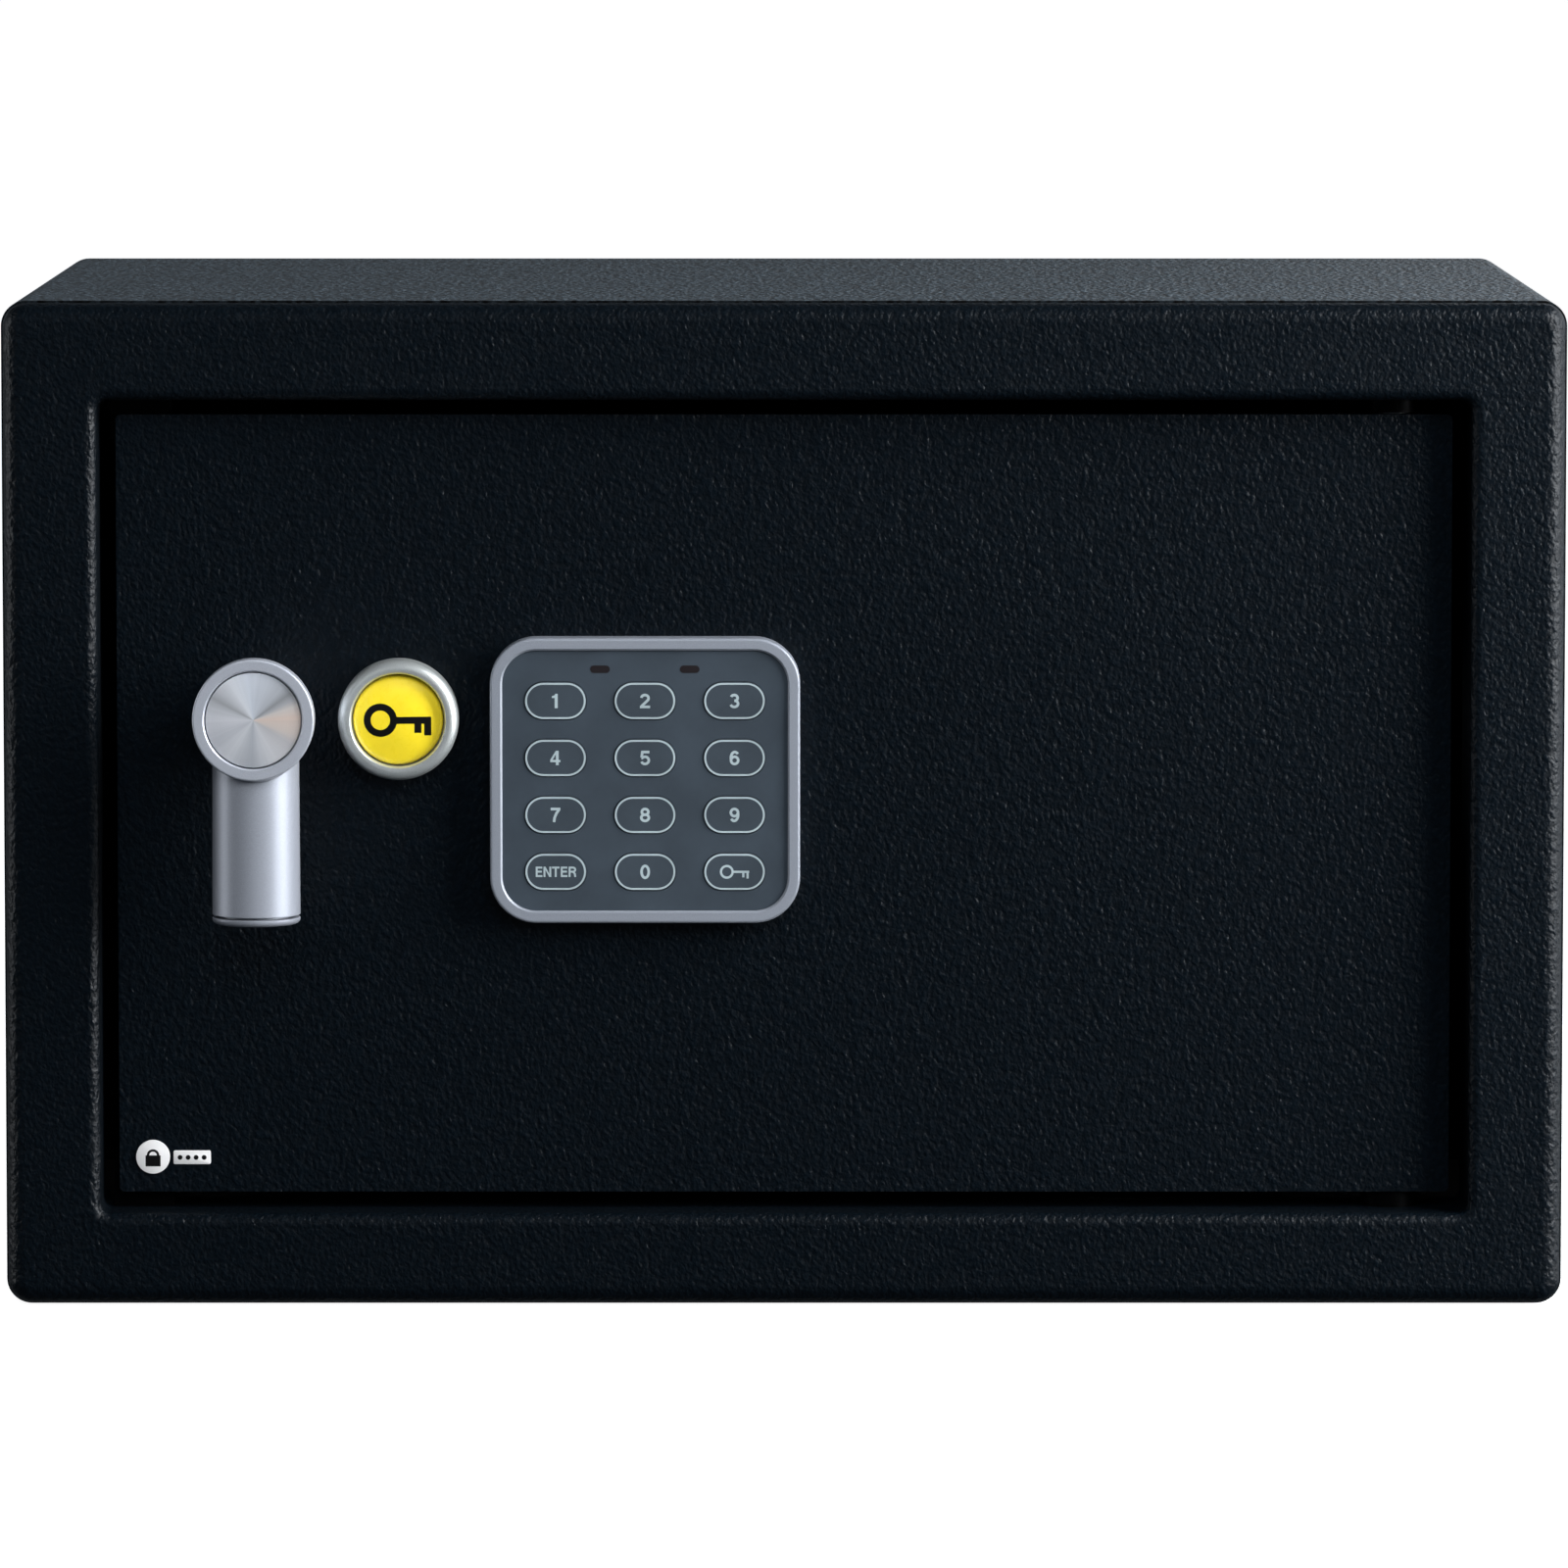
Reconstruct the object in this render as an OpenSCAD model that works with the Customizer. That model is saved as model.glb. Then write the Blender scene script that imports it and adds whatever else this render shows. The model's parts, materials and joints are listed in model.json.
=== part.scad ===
// Compact electronic safe: folded steel body, recessed plate door on hidden pivots,
// two live bolts thrown by a lever handle, keypad, solenoid blocker and key override.
// The origin is the centre of the underside. +X is right, -Y is the front, +Z is up.

/* [Body] */
// Width of the body
body_w = 310; // [306:1:316]
// Height of the body
body_h = 200; // [198:1:206]
// Depth of the body from the frame's face to the back edge
body_d = 200; // [180:1:260]
// Thickness of the folded sheet
sheet_t = 1.5; // [1.2:0.1:1.6]
// Outer corner radius of the wrapper
corner_r = 5; // [5:0.5:7]

/* [Front frame] */
// Width of the door opening
opening_w = 272; // [270:1:273]
// Height of the door opening
opening_h = 162; // [160:1:163]
// Height of the opening's centre above the floor
opening_z = 99.5; // [99:0.5:100.5]
// Step between the wrapper's outline and the frame's outline
frame_step = 0.45; // [0.3:0.05:0.6]
// Outer bend radius along the frame's rim
rim_bend_r = 3.5; // [2.5:0.5:4]
// Outer bend radius along the opening
opening_bend_r = 2.3; // [2:0.1:3]
// Width of the seam between the frame and the wrapper
seam_w = 0.4; // [0.3:0.1:0.6]

/* [Door] */
// Depth of the door's face behind the frame's face
door_recess = 9.5; // [9:0.5:10]
// Thickness of the door plate
door_t = 3; // [2.5:0.5:3.5]
// Gap all round the door
door_gap = 3.3; // [3.1:0.1:3.6]
// Radius of the hinge pins
pin_r = 3; // [2.5:0.5:3.5]
// Radial clearance of the turning fits
running_fit = 0.05; // [0.03:0.01:0.08]

/* [Handle] */
// Distance of the handle left of the door's centre
handle_left = 104.2; // [103:0.2:106]
// Height of the handle's axis above the floor
handle_z = 118.8; // [117:0.2:120]
// Radius of the round head
head_r = 12; // [11:0.5:13]
// Radius of the lever's stem
stem_r = 8.55; // [8:0.05:8.7]
// Length of the lever from the axis to its end
lever_len = 41.1; // [36:0.5:44]

/* [Keypad] */
// Distance of the keypad left of the door's centre
keypad_left = 27.6; // [25:0.2:30]
// Height of the keypad's centre above the floor
keypad_z = 104.7; // [102:0.5:106]
// Width of the bezel
keypad_w = 61.6; // [60:0.2:64]
// Height of the bezel
keypad_h = 56.8; // [55:0.2:60]
// Corner radius of the bezel
keypad_r = 9.2; // [8:0.2:11]
// Width of the bezel's band
bezel_band = 2.45; // [2:0.05:3]
// Width of one key
key_w = 12.28; // [11:0.1:13]
// Height of one key
key_h = 7.45; // [7:0.05:8]
// Spacing of the columns
column_pitch = 17.77; // [17:0.1:18]
// Spacing of the rows
row_pitch = 11.36; // [11:0.1:11.5]

/* [Locking bolts] */
// Radius of a bolt
bolt_r = 8; // [7:0.5:8]
// Distance between the two bolts
bolt_spacing = 90; // [88:1:92]
// Travel of the bolts
bolt_throw = 15; // [12:0.5:15]

/* [Anchor holes] */
// Spacing of the two anchor holes in the floor and in the back
anchor_spacing = 180; // [150:10:200]
// Radius of an anchor hole
anchor_r = 5.25; // [4:0.25:6.5]

/* [Hidden] */
$fn = 96;

// Depths along Y
front_y = -body_d / 2;
back_y = body_d / 2;
door_y0 = front_y + door_recess;
door_y1 = door_y0 + door_t;
slack = 0.3;

// The frame and the wrapper behind it
frame_w = body_w - 2 * frame_step;
frame_h = body_h - 2 * frame_step;
frame_corner = corner_r - frame_step;
rim_depth = rim_bend_r + 1.1;
wrap_y = front_y + rim_depth + seam_w;
lap_depth = rim_depth + 6;
flange_depth = 26;
lock_flange_depth = 15.5;
opening_corner = 2;
inner_x = body_w / 2 - sheet_t;
opening_x = opening_w / 2;
opening_low = opening_z - opening_h / 2;
opening_high = opening_z + opening_h / 2;

// The back panel and the floor mat
back_set = 0.9;
mat_t = 3;
mat_margin = 3.5;
mat_hole_r = anchor_r + 3;

// The door and its pivots
door_w = opening_w - 2 * door_gap;
door_h = opening_h - 2 * door_gap;
door_low = opening_z - door_h / 2;
door_high = opening_z + door_h / 2;
hinge_x = opening_x - 14.5;
hinge_y = door_y1 + 4;
lug_h = 14;
lug_half_w = 7.5;
bracket_t = 3;
washer_r = 6;

// The lever handle: depths are measured forward from the door's face
handle_x = -handle_left;
neck_r = 9;
head_front = 30;
head_t = 5;
stem_axis = 19.4;
cap_groove = 1.4;
spindle_r = 4;
crank_y0 = door_y1 + 2.5;
crank_y1 = crank_y0 + 4;
crank_reach = 15;
crank_start = 30;
crank_pin_r = 2.5;
crank_pin_x = handle_x + crank_reach * sin(crank_start);
crank_pin_z = handle_z - crank_reach * cos(crank_start);

// The key lock and its cover
lock_x = -76.6;
lock_z = 116.8;
barrel_r = 9.5;
plug_r = 6;
barrel_flange_r = 11;
barrel_back = 10;
cover_r = 12;
badge_r = 9;
dome_r = 32;
cam_len = 16;

// The bolt work
bolt_z_mid = 100;
bolt_y = door_y1 + 11.5;
bolt_tip = -133.5;
bolt_root = -98;
strip_y0 = bolt_y + 4.5;
strip_y1 = strip_y0 + 2.5;
strip_x0 = -104;
strip_x1 = -84;
tab_t = 2.5;
arm_z0 = 46;
arm_z1 = 54;
plunger_x = -66;
plunger_y = (strip_y0 + strip_y1) / 2;
plunger_r = 2.5;
plunger_tip = arm_z1 + 1;

// The inner cover and what it holds
cover_x0 = -122;
cover_x1 = 104;
cover_z0 = 30;
cover_z1 = 170;
cover_back = door_y1 + 35.5;
cover_t = 1.5;
stud_r = 3.5;
screw_r = 1.5;
stud_places = [[-112, 37], [-5, 37], [95, 37], [-112, 163], [-60, 163], [95, 163]];
tray_x0 = 18;
tray_x1 = 84;
tray_z0 = 64;
tray_z1 = 126;
tray_depth = 20.5;
cell_r = 7.2;
cell_len = 49.5;
cell_count = 4;
cell_pitch = 15.75;
window_lap = 3;
reset_x = 30;
reset_z = 148;
board_y0 = door_y1 + 3;
board_t = 1.6;

// The keypad: depths are measured forward from the door's face
keypad_x = -keypad_left;
panel_front = 5.2;
panel_t = 1.5;
panel_fit = 0.03;
key_fit = 0.12;
key_front = 5.45;
key_back = 3.3;
key_lip = 0.8;
first_row = 15.9;
led_spacing = 17.8;
led_up = 22.2;
ribbon_z = keypad_z + 19;

// The badge in the door's lower left corner
badge_x = -126;
badge_z = 28.8;

// ---------- helpers ----------

// A box from its low corner to its high corner
module span(low, high) translate(low) cube(high - low);

// A shape drawn in X and Z, from depth y0 to y1
module plate(y0, y1) translate([0, y1, 0]) rotate([90, 0, 0]) linear_extrude(y1 - y0) children();

module rod_y(x, z, r, y0, y1) plate(y0, y1) translate([x, z]) circle(r);

module rod_x(y, z, r, x0, x1) translate([x0, y, z]) rotate([0, 90, 0]) cylinder(h = x1 - x0, r = r);

module rod_z(x, y, r, z0, z1) translate([x, y, z0]) cylinder(h = z1 - z0, r = r);

// A rectangle with round corners, centred
module round_rect(w, h, r) {
    square([w - 2 * r, h], center = true);
    square([w, h - 2 * r], center = true);
    for (sx = [-1, 1], sz = [-1, 1]) translate([sx * (w / 2 - r), sz * (h / 2 - r)]) circle(r);
}

// A bar with half-round ends, centred
module pill(w, h) {
    square([w - h, h], center = true);
    for (s = [-1, 1]) translate([s * (w - h) / 2, 0]) circle(h / 2);
}

// A profile carried round a rectangle. Its X is the distance outside the outline of
// the rectangle and its Y is the distance towards the front from depth y.
module rim(w, h, r, y, z) translate([0, y, z]) rotate([90, 0, 0]) {
    for (i = [0:3]) rotate([0, 0, 90 * i]) {
        across = i % 2 == 0 ? w : h;
        along = i % 2 == 0 ? h : w;
        translate([across / 2, along / 2 - r, 0])
            rotate([90, 0, 0]) linear_extrude(along - 2 * r) children();
        translate([across / 2 - r, along / 2 - r, 0])
            rotate_extrude(angle = 90) translate([r, 0]) children();
    }
}

// A quarter of a bent sheet: its bend centre is at the origin, and the sheet leaves
// along +Y on the side that side_x names
module bend(r, side_x) intersection() {
    difference() {
        circle(r);
        circle(r - sheet_t);
    }
    translate([side_x > 0 ? 0 : -r, 0]) square(r);
}

// Where each of the two bolts lies
function bolt_z(i) = bolt_z_mid + (i - 0.5) * bolt_spacing;

// ---------- the body ----------

module body_shell() color("#33383c") difference() {
    plate(wrap_y, back_y) translate([0, body_h / 2]) round_rect(body_w, body_h, corner_r);
    plate(wrap_y - 1, back_y + 1) translate([0, body_h / 2])
        round_rect(body_w - 2 * sheet_t, body_h - 2 * sheet_t, corner_r - sheet_t);
    for (s = [-1, 1]) rod_z(s * anchor_spacing / 2, 0, anchor_r, -1, sheet_t + 1);
}

// The frame's outer rim: a bend, a short return and a joggle that laps inside the wrapper
module rim_profile() {
    lap_out = frame_step - sheet_t;
    translate([-rim_bend_r, -rim_bend_r]) bend(rim_bend_r, 1);
    translate([-rim_bend_r - 1, -sheet_t]) square([1, sheet_t]);
    translate([-sheet_t, -rim_depth]) square([sheet_t, rim_depth - rim_bend_r]);
    translate([lap_out - sheet_t, -rim_depth]) square([sheet_t - lap_out, 0.8]);
    translate([lap_out - sheet_t, -lap_depth]) square([sheet_t, lap_depth - rim_depth + 0.8]);
}

// The frame's inner edge: a bend and the return flange round the opening
module opening_profile() {
    translate([opening_bend_r, -opening_bend_r]) bend(opening_bend_r, -1);
    translate([opening_bend_r, -sheet_t]) square([1, sheet_t]);
    translate([0, -flange_depth]) square([sheet_t, flange_depth - opening_bend_r]);
}

module front_frame() color("#24282b") difference() {
    union() {
        plate(front_y, front_y + sheet_t) difference() {
            translate([0, body_h / 2])
                round_rect(frame_w - 2 * rim_bend_r, frame_h - 2 * rim_bend_r, frame_corner - rim_bend_r);
            translate([0, opening_z])
                round_rect(opening_w + 2 * opening_bend_r, opening_h + 2 * opening_bend_r,
                    opening_corner + opening_bend_r);
        }
        rim(frame_w, frame_h, frame_corner, front_y, body_h / 2) rim_profile();
        rim(opening_w, opening_h, opening_corner, front_y, opening_z) opening_profile();
    }
    // The bolts pass behind the left flange, so it is shorter than the others
    span([-opening_x - sheet_t - 1, front_y + lock_flange_depth, opening_low + opening_corner],
        [-opening_x + 3, front_y + flange_depth + 1, opening_high - opening_corner]);
    for (z = [opening_low, opening_high])
        rod_z(hinge_x, hinge_y, pin_r + running_fit, z - 3, z + 3);
}

module back_panel() color("#2b2f33") plate(back_y - back_set - sheet_t, back_y - back_set) difference() {
    translate([0, body_h / 2])
        round_rect(body_w - 2 * sheet_t, body_h - 2 * sheet_t, corner_r - sheet_t);
    for (s = [-1, 1]) translate([s * anchor_spacing / 2, body_h / 2]) circle(anchor_r);
}

// The bar behind the left flange that the bolts bear on
module strike_plate() color("#8c9196") span(
    [-inner_x, bolt_y - bolt_r - slack - 3, opening_low + 12],
    [-opening_x - sheet_t, bolt_y - bolt_r - slack, opening_high - 12]);

module hinge_brackets() color("#3a3e42") for (s = [-1, 1]) difference() {
    z0 = s > 0 ? opening_high + sheet_t : opening_low - sheet_t - bracket_t;
    span([hinge_x - 11, hinge_y - 7, z0], [hinge_x + 11, hinge_y + 7, z0 + bracket_t]);
    rod_z(hinge_x, hinge_y, pin_r + running_fit, z0 - 1, z0 + bracket_t + 1);
}

module door_stops() color("#3a3e42") for (z = [opening_low, opening_high - 8.5])
    span([-opening_x + 2, door_y1 + slack, z], [-opening_x + 14, door_y1 + slack + 3, z + 8.5]);

module floor_mat() color("#2a2a2c") difference() {
    span([-inner_x + mat_margin, front_y + lap_depth + 2, sheet_t],
        [inner_x - mat_margin, back_y - back_set - sheet_t - 2, sheet_t + mat_t]);
    for (s = [-1, 1]) rod_z(s * anchor_spacing / 2, 0, mat_hole_r, 0, sheet_t + mat_t + 1);
}

module hinge_washers() color("#b79a56") for (z = [opening_low, opening_high - door_gap + slack])
    difference() {
        rod_z(hinge_x, hinge_y, washer_r, z, z + door_gap - slack);
        rod_z(hinge_x, hinge_y, pin_r + running_fit, z - 1, z + door_gap);
    }

// ---------- the door ----------

module door_plate() color("#202427") difference() {
    plate(door_y0, door_y1) translate([0, opening_z]) round_rect(door_w, door_h, 1);
    rod_y(handle_x, handle_z, 5.5, door_y0 - 1, door_y1 + 1);
    rod_y(lock_x, lock_z, barrel_r, door_y0 - 1, door_y1 + 1);
    plate(door_y0 - 1, door_y1 + 1) translate([keypad_x, ribbon_z]) pill(14, 5);
}

module hinge_lugs() color("#3a3e42") for (z = [door_low, door_high - lug_h]) difference() {
    span([hinge_x - lug_half_w, door_y1, z], [hinge_x + lug_half_w, hinge_y + 5, z + lug_h]);
    rod_z(hinge_x, hinge_y, pin_r, z - 1, z + lug_h + 1);
}

// One pin stands up from the top lug and one hangs down from the bottom lug
module hinge_pins() color("#c9ccd0") {
    rod_z(hinge_x, hinge_y, pin_r, door_high - lug_h, opening_high + sheet_t + bracket_t + 2);
    rod_z(hinge_x, hinge_y, pin_r, opening_low - sheet_t - bracket_t - 2, door_low + lug_h);
}

// Threaded posts for the inner cover and short ones for the solenoid
module door_studs() color("#b9bdc1") {
    for (p = stud_places) difference() {
        rod_y(p[0], p[1], stud_r, door_y1, cover_back - cover_t);
        rod_y(p[0], p[1], screw_r, cover_back - 12, cover_back);
    }
    for (z = [70, 88]) rod_y(plunger_x, z, 3, door_y1, plunger_y - 10.5);
}

module inner_cover() color("#1b1d1f") difference() {
    cover_mid = [(cover_x0 + cover_x1) / 2, (cover_z0 + cover_z1) / 2];
    cover_size = [cover_x1 - cover_x0, cover_z1 - cover_z0];
    plate(door_y1, cover_back) translate(cover_mid) round_rect(cover_size.x, cover_size.y, 6);
    plate(door_y1 - 1, cover_back - cover_t) translate(cover_mid)
        round_rect(cover_size.x - 2 * cover_t, cover_size.y - 2 * cover_t, 6 - cover_t);
    for (i = [0, 1]) rod_x(bolt_y, bolt_z(i), bolt_r + 0.6, cover_x0 - 1, cover_x0 + 3);
    for (p = stud_places) rod_y(p[0], p[1], screw_r, cover_back - 3, cover_back + 1);
    span([tray_x0 + window_lap, cover_back - 3, tray_z0 + window_lap],
        [tray_x1 - window_lap, cover_back + 1, tray_z1 - window_lap]);
    rod_y(reset_x, reset_z, 2.6, cover_back - 3, cover_back + 1);
}

module cover_screws() color("#8f9499") for (p = stud_places) difference() {
    union() {
        rod_y(p[0], p[1], 3, cover_back, cover_back + 1.8);
        rod_y(p[0], p[1], screw_r, cover_back - 9, cover_back);
    }
    for (a = [0, 90]) plate(cover_back + 0.9, cover_back + 2) translate(p) rotate(a)
        square([3.6, 0.8], center = true);
}

// Two footed ears for each bolt, one on each side of the inner cover's wall
module bolt_guides() color("#9aa0a5") for (i = [0, 1], ear = [[-130, 7.5], [-118, 12]]) difference() {
    z = bolt_z(i);
    union() {
        span([ear[0], door_y1, z - 11], [ear[0] + 2.5, bolt_y + 10, z + 11]);
        span([ear[0], door_y1, z - 11], [ear[0] + ear[1], door_y1 + 2, z + 11]);
    }
    rod_x(bolt_y, z, bolt_r + running_fit, ear[0] - 1, ear[0] + 4);
}

module solenoid_frame() color("#a7adb2") difference() {
    y0 = plunger_y - 10.5;
    union() {
        span([plunger_x - 12, y0, 64], [plunger_x + 12, y0 + 1.5, 94]);
        for (z = [64, 92.5]) span([plunger_x - 12, y0, z], [plunger_x + 12, plunger_y + 9, z + 1.5]);
    }
    rod_z(plunger_x, plunger_y, plunger_r + 0.1, 60, 67);
}

module solenoid_coil() color("#a8622e") difference() {
    rod_z(plunger_x, plunger_y, 8.5, 65.5, 92.5);
    rod_z(plunger_x, plunger_y, plunger_r + 0.1, 60, 91);
}

module handle_bush() color("#b8995a") difference() {
    union() {
        rod_y(handle_x, handle_z, 5.5, door_y0, door_y1);
        rod_y(handle_x, handle_z, 7.5, door_y1, door_y1 + 1.5);
    }
    rod_y(handle_x, handle_z, spindle_r + running_fit, door_y0 - 1, door_y1 + 3);
}

module lock_barrel() color("#c4c7ca") difference() {
    union() {
        rod_y(lock_x, lock_z, barrel_flange_r, door_y0 - 1.5, door_y0);
        rod_y(lock_x, lock_z, barrel_r, door_y0 - 1.5, door_y0 + barrel_back);
    }
    rod_y(lock_x, lock_z, plug_r + running_fit, door_y0 - 3, door_y0 + barrel_back + 1);
}

module lock_nut() color("#a9adb1") difference() {
    plate(door_y1, door_y1 + 3) translate([lock_x, lock_z]) circle(13.5, $fn = 6);
    rod_y(lock_x, lock_z, barrel_r, door_y1 - 1, door_y1 + 4);
}

module keypad_bezel() color("#a4a9b3") translate([keypad_x, 0, 0]) {
    nose_r = bezel_band / 2;
    rim(keypad_w, keypad_h, keypad_r, door_y0, keypad_z) {
        translate([-bezel_band, 0]) square([bezel_band, 6 - nose_r]);
        translate([-nose_r, 6 - nose_r]) circle(nose_r);
    }
}

module keypad_outline(inset) round_rect(keypad_w - 2 * (bezel_band + inset),
    keypad_h - 2 * (bezel_band + inset), keypad_r - bezel_band - inset);

function key_offset(column, row) = [(column - 1) * column_pitch, first_row - row * row_pitch];

module keypad_panel() color("#3e474c") translate([keypad_x, 0, 0]) {
    plate(door_y0 - panel_front, door_y0 - panel_front + panel_t) translate([0, keypad_z]) difference() {
        keypad_outline(panel_fit);
        for (column = [0:2], row = [0:3]) translate(key_offset(column, row))
            pill(key_w + 2 * key_fit, key_h + 2 * key_fit);
        for (s = [-1, 1]) translate([s * led_spacing / 2, led_up]) pill(3.9, 1.5);
    }
    plate(door_y0 - panel_front + panel_t, door_y0) translate([0, keypad_z]) difference() {
        keypad_outline(panel_fit);
        keypad_outline(panel_fit + 1);
    }
}

module keypad_board() color("#2f6b45") translate([keypad_x, 0, 0]) {
    plate(door_y0 - 2.5, door_y0 - 1) translate([0, keypad_z]) keypad_outline(1.2);
}

module led_lenses() color("#2a1214") plate(door_y0 - panel_front - 0.05, door_y0 - 3.6)
    for (s = [-1, 1]) translate([keypad_x + s * led_spacing / 2, keypad_z + led_up]) pill(3.9, 1.5);

// The ribbon runs straight back from the keypad through the door
module keypad_cable() color("#8d9094")
    span([keypad_x - 5, door_y0 - 1, ribbon_z - 0.6], [keypad_x + 5, board_y0, ribbon_z + 0.6]);

module control_board() color("#2f6b45") {
    part_y = board_y0 + board_t;
    span([-42, board_y0, 118], [42, part_y, 162]);
    span([-38, part_y, 140], [-24, part_y + 9, 156]);
    span([-10, part_y, 134], [2, part_y + 2, 146]);
    span([keypad_x - 7, part_y, ribbon_z - 3], [keypad_x + 7, part_y + 5, ribbon_z + 3]);
    span([reset_x - 3, part_y, reset_z - 3], [reset_x + 3, part_y + 3, reset_z + 3]);
    for (x = [8, 17]) rod_y(x, 126, 3.2, part_y, part_y + 7.5);
    for (x = [-34, 34], z = [121, 159]) rod_y(x, z, 2.5, door_y1, board_y0);
}

module battery_tray() color("#1d1f21") difference() {
    y0 = cover_back - cover_t - tray_depth;
    span([tray_x0, y0, tray_z0], [tray_x1, cover_back - cover_t, tray_z1]);
    span([tray_x0 + 1.5, y0 + 1.5, tray_z0 + 1.5], [tray_x1 - 1.5, cover_back, tray_z1 - 1.5]);
}

function cell_x(i) = (tray_x0 + tray_x1) / 2 + (i - (cell_count - 1) / 2) * cell_pitch;
cell_y = cover_back - cover_t - tray_depth + 2 + cell_r;

// Each cell stands on a spring contact, and its neighbour stands the other way up
module cell_flip(i) translate([cell_x(i), cell_y, (tray_z0 + tray_z1) / 2])
    rotate([i % 2 == 0 ? 0 : 180, 0, 0]) children();

cell_top = (tray_z1 - tray_z0) / 2 - 2;

module batteries() color("#c8a93c") for (i = [0:cell_count - 1]) cell_flip(i) {
    translate([0, 0, cell_top - 1 - cell_len]) cylinder(h = cell_len, r = cell_r);
    translate([0, 0, cell_top - 1]) cylinder(h = 1, r = 2.7);
}

module battery_contacts() color("#c7cacd") for (i = [0:cell_count - 1]) cell_flip(i) {
    translate([-5, -5, cell_top]) cube([10, 10, 0.5]);
    translate([-5, -5, -cell_top - 0.5]) cube([10, 10, 0.5]);
    translate([0, 0, -cell_top]) cylinder(h = 2 * cell_top - 1 - cell_len, r1 = 4.6, r2 = 3);
}

module door_badge() color("#d2d5d7") plate(door_y0 - 0.4, door_y0) {
    translate([badge_x, badge_z]) circle(3.4);
    translate([badge_x + 7.8, badge_z - 0.1]) square([7.45, 2.75], center = true);
}

// ---------- the handle ----------

// The round head: a raised rim round a seat for the spun disc, on a narrower neck
module head_profile() {
    seat_r = 9.55;
    seat_level = head_front - 2.6;
    edge = 0.8;
    difference() {
        square([neck_r, seat_level]);
        square([spindle_r, 18]);
        square([neck_r + 1, slack]);
    }
    translate([0, head_front - head_t]) square([head_r, head_t - 2.6]);
    polygon([[seat_r, seat_level], [head_r, seat_level], [head_r, head_front - edge],
        [head_r - edge, head_front], [seat_r + edge, head_front], [seat_r, head_front - edge]]);
}

module turned(x, z) translate([x, door_y0, z]) rotate([90, 0, 0]) rotate_extrude() children();

module handle_body() color("#9ba1ab") difference() {
    union() {
        turned(handle_x, handle_z) head_profile();
        rod_z(handle_x, door_y0 - stem_axis, stem_r, handle_z - lever_len + cap_groove + 0.6,
            handle_z - 3);
    }
    rod_y(handle_x, handle_z, spindle_r, door_y0 - 18, door_y0);
    rod_y(handle_x, handle_z, 9.55, door_y0 - head_front - 1, door_y0 - head_front + 2.6);
}

module handle_disc() color("#c9ccd2")
    rod_y(handle_x, handle_z, 9.35, door_y0 - head_front + 0.6, door_y0 - head_front + 2.6);

module handle_end_cap() color("#9ba1ab") {
    edge_r = 1.1;
    low = handle_z - lever_len;
    translate([handle_x, door_y0 - stem_axis, low]) rotate_extrude() {
        translate([0, edge_r]) square([stem_r + 0.15, cap_groove - edge_r]);
        square([stem_r + 0.15 - edge_r, cap_groove]);
        translate([stem_r + 0.15 - edge_r, edge_r]) intersection() {
            circle(edge_r);
            translate([0, -edge_r]) square([edge_r, edge_r]);
        }
    }
    rod_z(handle_x, door_y0 - stem_axis, stem_r - 0.7, low + cap_groove, low + cap_groove + 0.6);
}

module handle_spindle() color("#b9bdc1") difference() {
    rod_y(handle_x, handle_z, spindle_r, door_y0 - 18, crank_y1);
    rod_y(handle_x, handle_z, screw_r, crank_y1 - 10, crank_y1 + 1);
}

module handle_crank() color("#a7adb2") {
    difference() {
        plate(crank_y0, crank_y1) translate([handle_x, handle_z]) {
            circle(7.5);
            rotate(crank_start) translate([-4.5, -crank_reach]) square([9, crank_reach]);
            rotate(crank_start) translate([0, -crank_reach]) circle(4.5);
        }
        rod_y(handle_x, handle_z, spindle_r, crank_y0 - 1, crank_y1 + 1);
    }
    rod_y(crank_pin_x, crank_pin_z, crank_pin_r, crank_y1, strip_y1 + 1.5);
}

module crank_screw() color("#8f9499") {
    rod_y(handle_x, handle_z, 5, crank_y1, crank_y1 + 2.4);
    rod_y(handle_x, handle_z, screw_r, crank_y1 - 9, crank_y1);
}

// ---------- the bolt work ----------

module bolt_carriage() color("#a7adb2") {
    z0 = bolt_z(0);
    z1 = bolt_z(1);
    plate(strip_y0, strip_y1) difference() {
        union() {
            translate([strip_x0, 70]) square([strip_x1 - strip_x0, 60]);
            translate([bolt_root + tab_t, z0 - 10]) square([strip_x1 - bolt_root - tab_t, z1 - z0 + 20]);
            translate([strip_x1, arm_z0]) square([34, arm_z1 - arm_z0]);
        }
        // The pin dips 2 mm as it crosses, so its slot is upright
        translate([crank_pin_x, handle_z - crank_reach + 1]) rotate(90) pill(8.3, 6);
        // The plunger drops into one notch with the bolts in and the other with them out
        for (step = [0, bolt_throw]) translate([plunger_x + step - 3, arm_z0 + 2.5]) square([6, 10]);
        translate([-94, 78]) pill(8, 8);
    }
    for (z = [z0, z1]) difference() {
        span([bolt_root, bolt_y - bolt_r, z - 8], [bolt_root + tab_t, strip_y1, z + 8]);
        rod_x(bolt_y, z, 2, bolt_root - 1, bolt_root + tab_t + 1);
    }
}

module locking_bolts() color("#c9ccd0") for (i = [0, 1]) difference() {
    chamfer = 1;
    union() {
        rod_x(bolt_y, bolt_z(i), bolt_r, bolt_tip + chamfer, bolt_root);
        translate([bolt_tip, bolt_y, bolt_z(i)]) rotate([0, 90, 0])
            cylinder(h = chamfer, r1 = bolt_r - chamfer, r2 = bolt_r);
    }
    rod_x(bolt_y, bolt_z(i), 2, bolt_root - 12, bolt_root + 1);
}

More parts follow.
